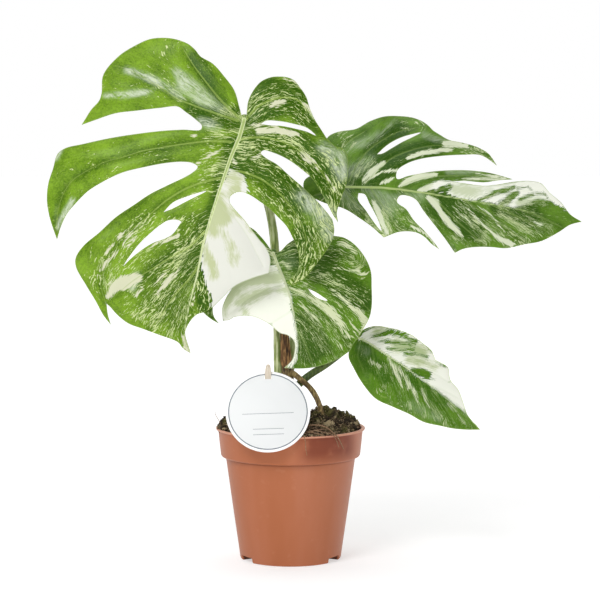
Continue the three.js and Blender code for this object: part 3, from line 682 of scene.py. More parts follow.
def grain_of(leaf, spots):
    rib_gap, rib_reach, rib_side = measure(spots, leaf["midrib"], before=True, beyond=True)
    out = np.zeros(len(spots))
    over = np.zeros(len(spots))
    for veins in (leaf["veins_left"], leaf["veins_right"]):
        middle = np.array([veins[-1][len(veins[-1]) // 2]])
        here = rib_side == measure(middle, leaf["midrib"], before=True, beyond=True)[2][0]
        there = spots[here]
        gaps, reaches, passed = [], [], []
        for vein in veins:
            gap, reach, side = measure(there, vein, beyond=True)
            clamped = measure(there, vein)[0]
            beside = np.array([np.array(vein[0]) + (np.array(leaf["tip"]) - leaf["base"]) * 0.2])
            tipward = measure(beside, vein[:2], before=True, beyond=True)[2][0]
            gaps.append(np.minimum(clamped, gap + 30))
            reaches.append(reach)
            passed.append(side == tipward)
        last_start = measure(np.array([veins[-1][0]], float), leaf["midrib"])[1][0]
        gaps.append(rib_gap[here])
        reaches.append(rib_reach[here] - last_start)
        count = np.sum(passed, axis=0)
        rows = np.arange(len(there))
        after = np.clip(count, 0, len(veins))
        ahead = np.clip(count - 1, 0, None)
        gaps, reaches = np.array(gaps), np.array(reaches)
        share = gaps[ahead, rows] / (gaps[ahead, rows] + gaps[after, rows] + 1e-6)
        inner = count > 0
        over[here] = np.where(inner, count - 1 + share, -gaps[0] / VEIN_SPACING)
        mixed = reaches[ahead, rows] * (1 - share) + reaches[after, rows] * share
        out[here] = np.where(inner, mixed, reaches[0])
    return out, over * VEIN_SPACING + OTHER_HALF * (rib_side > 0)


lobe_spot = np.array([(-150, 300)], float)
print("grain on a front lobe:", [part.round(1) for part in grain_of(FRONT_LEAF, lobe_spot)])

# %% [markdown]
# ## A slab to cut from
# A blade could be drawn as a curve and filled, but then it has no points inside to curve it with.
# So a fine grid is made first and given thickness, the outline is cut out of it with a Boolean
# while everything is still flat, which is quick and safe, and only then is it bent.

# %% Flat slab
BLADE_STEP = 1.25
SLAB = 1.0


def extrude_through(depth):
    """Extrudes the selected faces by a depth along y, and leaves edit mode."""
    bpy.ops.mesh.extrude_region_move(TRANSFORM_OT_translate={"value": (0, depth * MM, 0)})
    leave_edit()


def flat_slab(name, corners_x, corners_z):
    """A grid in the x-z plane, extruded to a thin slab."""
    wide, tall = corners_x[1] - corners_x[0], corners_z[1] - corners_z[0]
    pick()
    bpy.ops.mesh.primitive_grid_add(
        x_subdivisions=round(wide / BLADE_STEP),
        y_subdivisions=round(tall / BLADE_STEP),
        size=1,
        location=(sum(corners_x) / 2 * MM, -SLAB / 2 * MM, sum(corners_z) / 2 * MM),
        rotation=(math.radians(90), 0, 0),
    )
    slab = name_piece(name)
    slab.scale = (wide * MM, tall * MM, 1)
    bpy.ops.object.transform_apply()
    bpy.ops.object.mode_set(mode="EDIT")
    extrude_through(SLAB)
    return slab


print("points on a slab:", BLADE_STEP, "mm apart")

# %% [markdown]
# ## Cutters
# The cutter is a circle with one point for each point of the outline. It is pulled to the
# outline's shape and extruded from front to back. The same cutter makes the holes, and later the
# card's slot and its stick.


# %% Cut with an outline
def flat_prism(name, outline, front, back):
    """An outline in x and z, drawn on a circle and extruded from front to back."""
    pick()
    bpy.ops.mesh.primitive_circle_add(vertices=len(outline), radius=0.1, fill_type="NGON")
    prism = name_piece(name)
    for vertex, (x, z) in zip(prism.data.vertices, outline):
        vertex.co = (x * MM, front * MM, z * MM)
    bpy.ops.object.mode_set(mode="EDIT")
    bpy.ops.mesh.select_all(action="SELECT")
    extrude_through(back - front)
    return prism


def combine(piece, other, operation):
    apply_modifier(piece, "BOOLEAN", operation=operation, object=other, solver="MANIFOLD")
    bpy.data.objects.remove(other)


print("cutter from", -4 * SLAB, "to", 4 * SLAB, "mm")

# %% [markdown]
# ## Outlines
# The margin is joined from its runs, each of which ends where the next begins, and a hole is one
# curve back to its start. A search tree then
# finds the nearest place on any of them, because the blade thins out towards its edge.

# %% Margin and holes
MARGIN_STEP = 1.3


def hole_line(hole):
    return even_steps(curve_through([*hole, hole[0]], 12), MARGIN_STEP)[:-1]


def margin_line(leaf):
    runs = leaf["margin"]
    chains = [[*run, after[0]] for run, after in zip(runs, runs[1:] + runs[:1])]
    lines = [even_steps(curve_through(chain, 12), MARGIN_STEP)[:-1] for chain in chains]
    return np.concatenate(lines)


def margin_gaps(leaf, spots):
    """The distance from each spot to the nearest edge."""
    lines = [margin_line(leaf), *(hole_line(hole) for hole in leaf["holes"])]
    dense = np.concatenate([even_steps(np.vstack([line, line[:1]]), 0.3) for line in lines])
    tree = kdtree.KDTree(len(dense))
    for k, (x, z) in enumerate(dense):
        tree.insert((x, z, 0), k)
    tree.balance()
    return np.array([tree.find((x, z, 0))[2] for x, z in spots])


print("points on the front margin:", len(margin_line(FRONT_LEAF)))

# %% [markdown]
# ## Bending the blade
# Now every point of the flat cut-out gets its depth. Between the side veins the blade swells
# towards the light, along them it sinks to a fine groove in front and stands out as a rib behind,
# and towards the margin it thins out.

# %% Relief and thickness
THICKNESS = 0.8


def points_of(piece):
    """The points of a piece in millimetres, one in each row."""
    places = np.zeros(len(piece.data.vertices) * 3)
    piece.data.vertices.foreach_get("co", places)
    return places.reshape(-1, 3) / MM


def smooth_vein(vein):
    return even_steps(curve_through(vein, 4), 3)


def bend_blade(leaf, blade):
    places = points_of(blade)
    x, z = places[:, 0], places[:, 2]
    spots = np.c_[x, z]
    face = np.sign(places[:, 1])
    vein_gap = np.full(len(spots), 99.0)
    for vein in leaf["veins_left"] + leaf["veins_right"]:
        gap, reach, _ = measure(spots, smooth_vein(vein))
        vein_gap = np.minimum(vein_gap, gap + reach * 0.004)
    rib_gap = measure(spots, leaf["midrib"])[0]
    edge = margin_gaps(leaf, spots)
    depth = blade_depth(leaf, x, z)
    swell = (1 - np.exp(-((vein_gap / 7) ** 2))) * (1 - np.exp(-((rib_gap / 9) ** 2)))
    swell *= np.clip(edge / 7, 0, 1) ** 0.7
    groove = np.exp(-((vein_gap / 2.0) ** 2))
    slope = np.hypot(blade_depth(leaf, x + 1, z) - depth, blade_depth(leaf, x, z + 1) - depth)
    half = THICKNESS / 2 * np.hypot(1, slope) * (0.4 + 0.6 * np.clip(edge / 3, 0, 1))
    depth = depth - leaf["quilt"] * swell + 0.4 * groove * np.where(face < 0, 1, 1.4)
    places[:, 1] = depth + face * half
    blade.data.vertices.foreach_set("co", (places * MM).ravel())
    blade.data.update()


print("thickness of a blade:", THICKNESS, "mm, and 40 % of it at the edge")

# %% [markdown]
# ## Tubes
# Stalks, roots and midribs are round and taper. A curve with a bevel and a radius at each point is
# the quickest tube in Blender, and it is turned into a mesh at the end.

# %% Tapered tubes
TUBE_SIDES = 16


def tube(name, stops, sides=TUBE_SIDES, parts=6, flat=1.0):
    """A tube through stops of x, y, z and radius, flattened from front to back where asked."""
    points = curve_through(stops, parts)
    pick()
    bpy.ops.curve.primitive_nurbs_path_add()
    curve = bpy.context.active_object.data
    curve.splines.clear()
    spline = curve.splines.new("POLY")
    spline.points.add(len(points) - 1)
    for point, (x, y, z, radius) in zip(spline.points, points):
        point.co = (x * MM, y * MM, z * MM, 1)
        point.radius = radius
    curve.dimensions = "3D"
    curve.twist_mode = "MINIMUM"
    curve.bevel_depth = MM
    curve.bevel_resolution = max(sides // 4 - 1, 0)
    curve.use_fill_caps = True
    bpy.ops.object.convert(target="MESH")
    piece = name_piece(name)
    bpy.ops.object.mode_set(mode="EDIT")
    bpy.ops.mesh.select_all(action="SELECT")
    bpy.ops.mesh.remove_doubles(threshold=0.00001)
    leave_edit()
    if flat != 1.0:
        heights, depths = points[:, 2] * MM, points[:, 1] * MM
        for vertex in piece.data.vertices:
            middle = float(np.interp(vertex.co.z, heights, depths))
            vertex.co.y = middle + (vertex.co.y - middle) * flat
    return piece


print("sides of a plain tube:", TUBE_SIDES)

# %% [markdown]
# ## Making the blades
# The midrib is a tube along the back of the blade, sunk in until it lies level with the front, and
# a knob joins it to its stalk. All three become one mesh, because the real ones grew together.

# %% The four blades
LEAVES = {"front": FRONT_LEAF, "right": RIGHT_LEAF, "middle": MIDDLE_LEAF, "lower": LOWER_LEAF}
RIB_END = 0.5


def add_midrib(leaf, blade):
    stops = []
    for k, (x, z) in enumerate(leaf["midrib"]):
        radius = leaf["rib_radius"] + (RIB_END - leaf["rib_radius"]) * k / (len(leaf["midrib"]) - 1)
        stops.append((x, float(blade_depth(leaf, x, z)) + 0.8 * radius, z, radius))
    rib = tube("rib", stops)
    bpy.ops.mesh.primitive_uv_sphere_add(
        segments=24,
        ring_count=16,
        radius=leaf["knob_radius"] * MM,
        location=Vector((stops[0][0], leaf["depth"] + 0.6 * leaf["rib_radius"], stops[0][2])) * MM,
    )
    knob = name_piece("knob")
    pick(knob)
    bpy.ops.object.transform_apply()
    pick(blade, rib, knob)
    bpy.ops.object.join()


def make_blade(name, leaf):
    outline = margin_line(leaf)
    low, high = outline.min(axis=0) - 2, outline.max(axis=0) + 2
    blade = flat_slab(name, (low[0], high[0]), (low[1], high[1]))
    combine(blade, flat_prism("cutter", outline, -4 * SLAB, 4 * SLAB), "INTERSECT")
    for hole in leaf["holes"]:
        combine(blade, flat_prism("cutter", hole_line(hole), -4 * SLAB, 4 * SLAB), "DIFFERENCE")
    bend_blade(leaf, blade)
    add_midrib(leaf, blade)
    print(name, "points:", len(blade.data.vertices))
    return blade


blades = {name: make_blade("blade_" + name, leaf) for name, leaf in LEAVES.items()}

# %% [markdown]
# ## Marks on the front blade
# Variegation can't be worked out by a rule, so the larger marks were placed one by one, as a painter
# would. White and cream are tissue without green, and green are islands in it. Bloom is the waxy
# silvery bloom together with a painted highlight, and cloud is the pale green inside the white.
# Flecks say where the small dashes are dense. Dark and mid green say where the green is deeper, as
# deeper tissue and as painted shade. The paints and their amounts follow: light, deep, halo and
# fleck are the greens from below, and the rest is named for what it colours.

# %% Marks and paints of the front blade
FRONT_LEAF["white"] = [
    [(-47.5, 314), (-41.5, 311), (-36, 307), (-33, 302), (-32, 296.5), (-34.5, 292.5),
     (-31.5, 286.5), (-22, 278.5), (-11, 266), (-2, 250.5), (1.5, 241), (-3.5, 230), (-22, 229),
     (-39, 222.5), (-53, 211.5), (-62, 203.5), (-62, 211.5), (-63.5, 219.5), (-66.5, 227),
     (-70, 236.5), (-68, 253.5), (-62, 274.5), (-56, 294)],
]
FRONT_LEAF["cream"] = [
    [(-25, 343, 2.4), (-12, 344, 3.1), (0, 341.5, 3.1), (5.5, 340.5, 1.6)],
    [(-33, 348.5, 0.9), (-25.5, 347.5, 1.3), (-19, 349.5, 0.9)],
    [(-16.5, 362.5, 0.9), (-11, 364.5, 2.2), (-5, 366.5, 1.4)],
    [(10.5, 364.5, 0.9), (15.5, 359.5, 1.9), (19.5, 353.5, 1.1)],
    [(8.5, 327.5, 1.4), (13, 322.5, 2.5), (18, 319, 1.7)],
    [(20, 315, 0.6), (29, 306.5, 0.9), (35, 297.5, 0.7)],
    [(-30.5, 322.5, 0.9), (-25, 323.5, 1.7), (-22, 326, 1.1)],
    [(-44.5, 320.5, 0.9), (-42.5, 318, 1.4)],
    [(-78, 339, 0.9), (-74.5, 339, 1.6)],
    [(-68, 320.5, 0.6), (-61, 324.5, 1.3), (-53.5, 329, 0.9)],
    [(-76.5, 313.5, 0.8), (-70.5, 317.5, 1.2)],
    [(-114.5, 267.5, 0.6), (-121, 260.5, 1.4), (-127, 253, 1.1)],
    [(-137, 247.5, 0.6), (-143, 241, 2), (-150.5, 230.5, 1)],
    [(-142.5, 214, 2.4), (-136.5, 222, 4.8), (-128, 226, 6), (-119, 229, 4)],
    [(-109, 253, 0.6), (-99.5, 257.5, 1.6), (-87, 262, 1.7)],
    [(-90, 233, 0.9), (-97, 224.5, 2.2), (-104, 216, 1)],
    [(-94, 236, 0.5), (-101, 229, 1), (-106, 224, 0.5)],
    [(-84, 240, 0.5), (-87.5, 235, 1.3), (-90.5, 229, 0.5)],
    [(-115.5, 221, 0.9), (-120.5, 214.5, 1.7)],
    [(-117, 272, 0.5), (-128, 258, 1.1), (-140, 242, 0.7)],
    [(-122, 273, 0.4), (-133, 260, 0.9), (-143, 248, 0.4)],
    [(-74, 222.5, 0.8), (-74.5, 215.5, 1.4), (-75.5, 208.5, 0.6)],
    [(-84, 183, 1.2), (-81.5, 175, 1.6), (-78.5, 168.5, 1.6)],
    [(-5, 385.5, 0.5), (4.5, 381.5, 1), (10, 375.5, 0.6)],
]
FRONT_LEAF["green"] = []
# Bloom strokes mark the waxy bloom together with a painted highlight of the soft boxes.
FRONT_LEAF["bloom"] = [
    [(-90, 391, 3.2), (-82, 380, 7.1), (-68.5, 369, 6.3), (-53.5, 359.5, 3.9)],
    [(-129, 391, 2.8), (-116, 387, 3.2), (-100, 379, 3.2), (-84, 369.5, 3.1)],
    [(-146, 371, 2), (-130, 371.5, 3.4), (-108, 374, 2)],
    [(-70.5, 351, 3.1), (-62.5, 348.5, 4.3), (-55, 345.5, 2.4)],
    [(-171, 289, 2.4), (-178, 277, 3.1), (-182.5, 267, 1.6)],
    [(-184.5, 322, 2.4), (-181.5, 328, 2.4)],
    [(8, 293, 5), (20, 284, 9), (30, 272, 9), (31, 260, 5)],
    [(25, 330, 4.7), (36.5, 322, 7.1), (40.5, 308, 5.5)],
    [(-120, 230.5, 3.9), (-123.5, 221, 3.1)],
]
FRONT_LEAF["cloud"] = [
    [(-50, 308, 4.7), (-40.5, 303.5, 4.7), (-42, 292.5, 3.9)],
    [(-58.5, 289.5, 6.2), (-53, 277, 7)],
    [(-64, 272.5, 4.7), (-59.5, 264.5, 4.7)],
    [(-50, 261.5, 3.1), (-45.5, 249, 3.1), (-44.5, 241.5, 2.3)],
    [(-66.5, 254.5, 3.1), (-62.5, 241, 3.9), (-59.5, 230.5, 3.1)],
    [(-39, 280, 4.7), (-29.5, 270.5, 3.9)],
]
FRONT_LEAF["flecks"] = [
    [(-45.5, 347, 12.6), (-50, 328, 15.6), (-58, 308, 10.9), (-64, 284.5, 9.3), (-70, 261.5, 9.3)],
    [(-24, 358, 11), (-0.5, 364, 14.2)],
    [(-22, 336, 9.4), (7.5, 329.5, 11), (31, 311, 11), (36, 292, 7.9)],
    [(-31.5, 314, 10.9), (0, 297, 12.5), (20, 273.5, 14), (17, 250, 14.1), (7.5, 233, 9.4)],
    [(-109, 270, 7.8), (-128.5, 250.5, 10.9), (-145.5, 227, 9.4)],
    [(-82, 258.5, 10.9), (-97.5, 236.5, 12.4), (-109.5, 211.5, 15.6), (-86, 203.5, 17.1),
     (-89.5, 188, 12.5)],
    [(-132.5, 308.5, 6.2), (-153, 285, 4.7)],
    [(-97, 409, 1.6), (-103, 402, 1.2)],
    [(-70.5, 223.5, 7.8), (-67.5, 211.5, 6.2)],
    [(-88, 228, 8), (-104, 206, 9), (-90, 186, 8)],
]
# Dark strokes deepen the green: deeper tissue, and painted shade.
FRONT_LEAF["dark"] = [
    [(-41, 351, 5.5), (-59, 354.5, 4.7), (-78.5, 354.5, 3.9)],
    [(-22.5, 370.5, 11), (-31.5, 358, 6.3)],
    [(-42.5, 328, 6.3), (-51, 297, 4.7), (-62.5, 258.5, 7.8), (-70, 241, 9.3)],
    [(-31.5, 328, 9), (-8, 312.5, 5), (7.5, 289.5, 4)],
    [(-14, 368, 9), (2, 371, 8), (14, 358, 5)],
    [(0, 333, 7), (22, 317, 7), (32, 300, 5)],
    [(12, 262, 4), (8, 246, 4), (2, 236, 3)],
    [(-70, 228, 3), (-66, 216, 4), (-66, 206, 3)],
]
# Mid green strokes: greener tissue, and painted shade where the lobes lie less lit.
FRONT_LEAF["mid_green"] = [
    [(-75, 401, 3), (-54, 369, 4)],
    [(-70, 262, 10), (-88, 240, 14), (-100, 218, 14), (-80, 200, 10)],
    [(-150, 276, 7), (-126, 296, 9), (-100, 311, 8)],
    [(-22, 345, 8), (8, 340, 10), (32, 320, 12), (38, 298, 9)],
    [(-25, 316, 9), (0, 300, 13), (22, 275, 15), (20, 252, 14), (8, 234, 8)],
]
FRONT_LEAF.update(
    light="#84aa2e", deep="#33560c", halo="#9ab44e", fleck="#ccd79c",
    cream_colour="#d0d1b4", white_colour="#dadbd1", cloud_pale="#cfd2bd", cloud_deep="#b9c196",
    vein_colour="#a0b85a", edge_colour="#8fa653", rib_colour="#cfd9a6", rib_middle="#8ea552",
    streak_size=0.85, fleck_floor=0.5, fleck_most=1.08, fleck_gain=0.2, speckle=0.3,
    ragged=1.1, bloom_strength=1, vein_strength=0.38,
)
tell("front blade", FRONT_LEAF)

# %% [markdown]
# ## Marks on the right blade
# One half of this blade's end is white, with thin islands of green that lie along the veins. Wide
# cream streaks run out along its lobes.

# %% Marks and paints of the right blade
RIGHT_LEAF["white"] = [
    [(112, 297.5), (117, 302.5), (124, 304), (139.5, 303), (154.5, 302), (171, 301), (184, 302.5),
     (196, 304.5), (208, 303), (214, 294), (221, 287), (227.5, 279), (218.5, 282), (211, 287),
     (201, 288.5), (189.5, 285.5), (181, 281.5), (169.5, 284.5), (152, 287.5), (139, 289)],
]
RIGHT_LEAF["cream"] = [
    [(59, 304, 1.2), (67, 311.5, 2.8), (76, 318, 2)],
    [(59, 301, 0.6), (66, 306.5, 0.8), (75.5, 311, 1.3), (87, 312, 1.5)],
    [(72.5, 301, 1), (79, 303.5, 2), (84, 305.5, 1.1)],
    [(96, 322, 1.8), (108.5, 326, 2.2), (124, 328.5, 2), (134, 329, 1.2)],
    [(127, 333.5, 2.4), (136, 333.5, 3), (146, 331.5, 2)],
    [(164.5, 319.5, 1.2), (168.5, 315.5, 0.8)],
    [(88, 299, 1.5), (95.5, 303.5, 2.9), (105.5, 307, 3.1), (118.5, 308.5, 1.8)],
    [(140.5, 305, 0.8), (154.5, 305, 1.5), (175, 304.5, 1.3)],
    [(104, 295, 1.5), (112, 298, 2.8), (121, 301, 2.5)],
    [(151.5, 309.5, 0.8), (164.5, 307.5, 1.3), (177.5, 305, 1.1)],
    [(66.5, 287.5, 1.3), (69.5, 281, 2.7), (73.5, 270.5, 2.3), (77, 262, 1.7)],
    [(96.5, 267.5, 1), (102, 265, 1.4), (107.5, 262, 1.3), (113, 256, 1), (117.5, 249, 0.8)],
    [(111, 290, 2), (116, 286.5, 4), (121, 278, 2.4), (128, 269, 3.2), (138, 259.5, 1)],
    [(134, 287, 0.4), (144, 280, 0.8), (157.5, 266, 1.4), (167.5, 257.5, 2.2), (177, 253, 2.6)],
    [(150, 283.5, 0.5), (158, 279, 1), (164, 272.5, 0.8), (172, 262, 0.5)],
    [(130.5, 283, 0.5), (138, 275.5, 0.8), (146.5, 267.5, 0.6)],
    [(196.5, 270.5, 0.8), (202, 268, 1.3)],
    [(53.5, 291.5, 0.8), (56, 288, 1)],
    [(85, 289.5, 0.8), (88.5, 285.5, 1.1)],
]
RIGHT_LEAF["green"] = [
    [(151.5, 288, 0.6), (159, 290, 1.6), (167, 294, 1.8), (175, 296, 1.8), (182, 298, 1.2)],
    [(169.5, 285.5, 1.6), (175, 287, 2.4), (180, 290.5, 2.4), (184.5, 293.5, 1.5)],
    [(186, 288, 1.3), (193, 291, 1.6), (197, 292, 0.8)],
    [(200.5, 293, 0.7), (206, 293, 1), (209, 290.5, 0.6)],
    [(185, 297.5, 0.7), (193, 298.5, 0.6), (196, 296.5, 0.7)],
    [(131, 298.5, 1), (124.5, 295, 1.3)],
    [(121.5, 297, 1), (129.5, 299.5, 1.1)],
    [(187.5, 280.5, 1.6), (202, 281.5, 3.2), (215, 280, 4.1), (226, 274.5, 3.2), (234, 271, 1.6)],
    [(126, 309.5, 1.8), (137, 311, 2), (150, 311, 1.3)],
]
RIGHT_LEAF["bloom"] = [
    [(32, 299, 6.5), (44, 291.5, 9.7), (52.5, 283.5, 6.4)],
    [(60, 296, 4), (74, 290, 5), (80, 276, 5)],
    [(44.5, 328.5, 4.5), (65.5, 336.5, 4), (87, 352, 3)],
    [(111, 341, 3.3), (120, 337.5, 3.3), (130.5, 334.5, 1.7)],
    [(72, 288, 6.5), (84.5, 286.5, 6.5), (105, 291, 4.9)],
    [(48.5, 312, 7.4), (66.5, 320.5, 4.9)],
    [(128.5, 310.5, 2.5), (155, 311, 2.5)],
]
RIGHT_LEAF["cloud"] = [
    [(133.5, 297, 4.1), (150, 296, 4.9), (162, 296.5, 3.3)],
    [(95.5, 303, 3.3), (109.5, 306.5, 3.3)],
    [(186, 285.5, 3.2), (202.5, 288, 3.3)],
    [(161, 303, 2.5), (175, 302.5, 2.5)],
]
RIGHT_LEAF["flecks"] = [
    [(40, 292, 6.5), (52.5, 284, 8), (65.5, 270.5, 8), (71.5, 263, 5)],
    [(43, 343, 4), (50, 330, 4)],
    [(54, 311, 4), (66, 320, 3)],
    [(97, 350, 5), (112.5, 349, 4)],
    [(142, 331, 4), (156, 327.5, 4), (163, 322.5, 4)],
    [(84, 276, 9), (91.5, 266, 8)],
    [(140, 281, 6), (154, 272, 9), (170, 260, 9), (184, 255, 7)],
    [(175, 281, 5), (193, 272, 7), (204.5, 264, 6)],
    [(132, 251, 8), (149.5, 251, 5)],
    [(160, 290, 4), (172, 292, 5), (185, 293, 6), (205, 290, 5)],
    [(104, 287, 4), (112, 270, 4)],
]
RIGHT_LEAF["dark"] = [
    [(48, 304, 6.5), (66, 307.5, 6.5), (86.5, 320, 5.8), (115, 330, 5)],
    [(120.5, 284, 6.5), (144, 268.5, 8)],
    [(169.5, 283, 4.9), (193.5, 276.5, 4.9)],
    [(73.5, 328.5, 6.6), (91, 345, 4.2)],
]
RIGHT_LEAF["mid_green"] = []
RIGHT_LEAF.update(
    light="#648b2c", deep="#2f5010", halo="#86a24e", fleck="#c0cb9c",
    cream_colour="#d2d8bc", white_colour="#e6e8db", cloud_pale="#d6dbc8", cloud_deep="#c2cbab",
    vein_colour="#8fa85a", edge_colour="#88a052", rib_colour="#a9bb78", rib_middle="#8aa058",
    streak_size=0.75, fleck_floor=0.5, fleck_most=1.5, fleck_gain=0.2, speckle=0.3,
    ragged=0.75, bloom_strength=0.38, vein_strength=0.2,
)
tell("right blade", RIGHT_LEAF)

# %% [markdown]
# ## Marks on the middle blade
# The left half is nearly all cream white, with soft green clouds. The right half is green and full
# of fine dashes, so that the midrib divides two quite different leaves.

# %% Marks and paints of the middle blade
MIDDLE_LEAF["white"] = [
    [(-12, 237), (-22.5, 235), (-36, 232), (-49.5, 223), (-57.5, 210), (-58, 202.5), (-54, 194),
     (-51, 189), (-32, 190.5), (-16, 185), (-5, 177), (-0.5, 153.5), (4.5, 164.5), (5.5, 174.5),
     (4.5, 186.5), (2, 200.5), (-1, 215), (-5, 226)],
]
MIDDLE_LEAF["cream"] = [
    [(-1, 219.5, 0.9), (7.5, 216.5, 2), (17, 211.5, 2.5), (25, 207, 3), (33, 200, 3.3),
     (40, 191, 2.8), (45.5, 180.5, 1.7)],
    [(33.5, 217, 0.7), (41.5, 211, 1.4), (48.5, 204.5, 2.2), (56.5, 197, 3), (60, 190.5, 3),
     (57, 184.5, 2.2)],
    [(47, 192.5, 0.7), (55, 182.5, 0.9)],
    [(35.5, 235, 0.6), (49, 232.5, 1), (60, 229.5, 0.7)],
    [(7.5, 207.5, 0.6), (17, 199, 1), (25, 189.5, 0.8)],
    [(34.5, 180, 0.6), (41, 173, 0.9)],
    [(-6.5, 240, 0.6), (-0.5, 235, 0.9)],
    [(-15, 246, 0.8), (-12.5, 241, 1.6), (-10.5, 235.5, 1.2)],
    [(37, 255.5, 0.8), (46, 252, 1.6), (53, 246, 0.9)],
    [(3, 186.5, 1.7), (3.5, 174.5, 2), (0.5, 163, 2.4), (-4.5, 156.5, 1.9)],
    [(-30.5, 265, 0.5), (-22.5, 255, 0.7), (-17.5, 248, 0.7)],
    [(7.5, 226, 0.6), (12.5, 222.5, 0.8)],
]
MIDDLE_LEAF["green"] = [
    [(-57.5, 190.5, 2.4), (-59, 198.5, 2.5), (-57.5, 205, 0.9)],
    [(-32, 266, 2.1), (-26.5, 259.5, 2.5), (-21, 252.5, 2.1)],
]
MIDDLE_LEAF["bloom"] = [
    [(-14.5, 244.5, 3.9), (-10.5, 235, 3.9)],
    [(-6.5, 252.5, 6.3), (-0.5, 240, 6.3)],
    [(-22.5, 222.5, 3.9), (-5, 222.5, 3.2)],
]
MIDDLE_LEAF["cloud"] = [
    [(-51.5, 199, 2.5), (-51, 207.5, 3.2), (-45.5, 217, 4.3), (-34.5, 225, 4.7), (-21, 228, 4.7),
     (-8, 227.5, 3.9)],
    [(-40, 208.5, 3.9), (-28.5, 213, 5.1), (-16, 216.5, 3.9), (-5, 218, 2.4)],
    [(-36.5, 202, 2.8), (-33.5, 196, 2.4)],
]
MIDDLE_LEAF["flecks"] = [
    [(7.5, 233.5, 11), (31.5, 232, 11.1), (51, 228.5, 9.5)],
    [(-0.5, 249.5, 7.9), (-5, 240, 7.9)],
    [(7.5, 202, 12.6), (27.5, 186.5, 15.7), (43, 174.5, 9.5)],
    [(43, 210, 11), (55, 198, 7.9)],
    [(39.5, 254, 7.9), (52, 246, 6.3)],
    [(15.5, 170.5, 11), (31.5, 169, 7.9)],
    [(7.5, 216.5, 7.9), (31.5, 205.5, 9.4)],
]
MIDDLE_LEAF["dark"] = [
    [(-5, 254, 7.9), (7.5, 249.5, 11.1), (23.5, 240, 9.5)],
    [(39, 224, 7.9), (56.5, 210, 4.7)],
    [(7.5, 186.5, 7.9), (17, 174.5, 7.9)],
]
MIDDLE_LEAF["mid_green"] = []
MIDDLE_LEAF.update(
    light="#628c24", deep="#31520e", halo="#94ad58", fleck="#c0cc98",
    cream_colour="#ccd3ac", white_colour="#eff1e3", cloud_pale="#e2e6d2", cloud_deep="#c9d3ac",
    vein_colour="#90ac58", edge_colour="#a0b274", rib_colour="#c6cda8", rib_middle="#aebb80",
    streak_size=0.85, fleck_floor=0.5, fleck_most=0.95, fleck_gain=0.2, speckle=0.14,
    ragged=1.9, bloom_strength=0.15, vein_strength=0.14,
)
tell("middle blade", MIDDLE_LEAF)

# %% [markdown]
# ## Marks on the lower blade
# The upper half is white and marbled with green, and the lower half is green with a few streaks.
# The marbling is made of clouds and of thin green islands, as on the right blade.

# %% Marks and paints of the lower blade
LOWER_LEAF["white"] = [
    [(55, 177.5), (60, 183), (70, 188), (80.5, 190), (92, 188), (104, 182), (114, 173), (121, 163),
     (129, 157), (132, 145.5), (139, 136), (143, 124), (143.5, 115), (148.5, 110), (137.5, 120),
     (128, 128.5), (117, 137), (103, 146.5), (89.5, 156.5), (77.5, 164), (64, 173.5)],
]
LOWER_LEAF["cream"] = [
    [(78.5, 161.5, 1), (82.5, 155, 2.1), (86.5, 146.5, 1.4), (89.5, 139.5, 0.7)],
    [(87, 154.5, 1), (92, 146.5, 1), (95, 138, 0.7)],
    [(95, 142.5, 0.6), (99, 135, 0.9), (102, 128, 0.7)],
    [(105.5, 136.5, 0.6), (108, 130, 0.7), (111, 122.5, 0.6)],
    [(64, 160, 0.8), (66, 157.5, 1.1)],
    [(69.5, 157, 0.7), (72, 154.5, 1)],
    [(126, 125.5, 0.6), (132.5, 119, 0.8)],
    [(134, 117.5, 0.6), (138.5, 110.5, 0.7)],
]
LOWER_LEAF["green"] = [
    [(65, 178, 0.5), (72, 179.5, 1.5), (81, 181.5, 2.6), (91, 179.5, 2.6), (101, 173.5, 1.4)],
    [(70, 174.5, 0.8), (80, 174.5, 1.6), (90, 173, 1.4), (97, 171.5, 0.8)],
    [(78.5, 168.5, 0.7), (90, 167.5, 1.1), (99.5, 168, 1.1)],
    [(91.5, 164.5, 0.8), (101, 164.5, 1.4), (110, 162, 1)],
    [(98, 151.5, 2.2), (104, 150, 3.4), (110, 147.5, 3.6)],
    [(121, 156, 0.8), (125, 154, 1.1)],
    [(112, 145, 0.6), (115.5, 144.5, 0.7)],
    [(90, 185, 0.5), (101, 180, 1), (109, 172, 0.8), (114, 165.5, 0.5)],
]
LOWER_LEAF["bloom"] = [
    [(97, 125, 4), (107, 119.5, 4.8), (118, 114.5, 3.2)],
    [(56, 169.5, 3.2), (60.5, 166.5, 4)],
    [(104.5, 165.5, 3.2), (114, 158, 3.2)],
]
LOWER_LEAF["cloud"] = [
    [(84, 171, 3.2), (98, 170.5, 4), (107.5, 165.5, 3.2)],
    [(96, 159.5, 3.2), (107.5, 157, 3.2), (117, 154, 2.4)],
    [(69, 182.5, 3.2), (75.5, 185, 2.4)],
]
LOWER_LEAF["flecks"] = [
    [(66, 158, 3), (73, 152, 3)],
    [(84, 155, 5), (92.5, 141, 6), (100.5, 130, 5)],
    [(95.5, 123, 7), (111.5, 116.5, 7), (130, 110, 5)],
    [(115, 130, 7), (129.5, 119, 7), (142, 111, 5)],
    [(75, 134, 6), (88, 121, 6)],
    [(80, 181, 7), (96.5, 176, 6)],
]
LOWER_LEAF["dark"] = [
    [(58, 168, 3), (66, 157, 4), (78, 149, 4)],
    [(91, 151, 3), (107, 138.5, 3.5), (123, 127.5, 3)],
]
LOWER_LEAF["mid_green"] = []
LOWER_LEAF.update(
    light="#5f8a22", deep="#38600f", halo="#98b05c", fleck="#c4cea0",
    cream_colour="#d0d5b6", white_colour="#e6e8db", cloud_pale="#ccd2b4", cloud_deep="#a9b888",
    vein_colour="#86a552", edge_colour="#a4bb5c", rib_colour="#ccd6a6", rib_middle="#b4c284",
    streak_size=0.85, fleck_floor=0.45, fleck_most=0.95, fleck_gain=0.17, speckle=0.3,
    ragged=1.3, bloom_strength=0.3, vein_strength=0.12,
)
tell("lower blade", LOWER_LEAF)

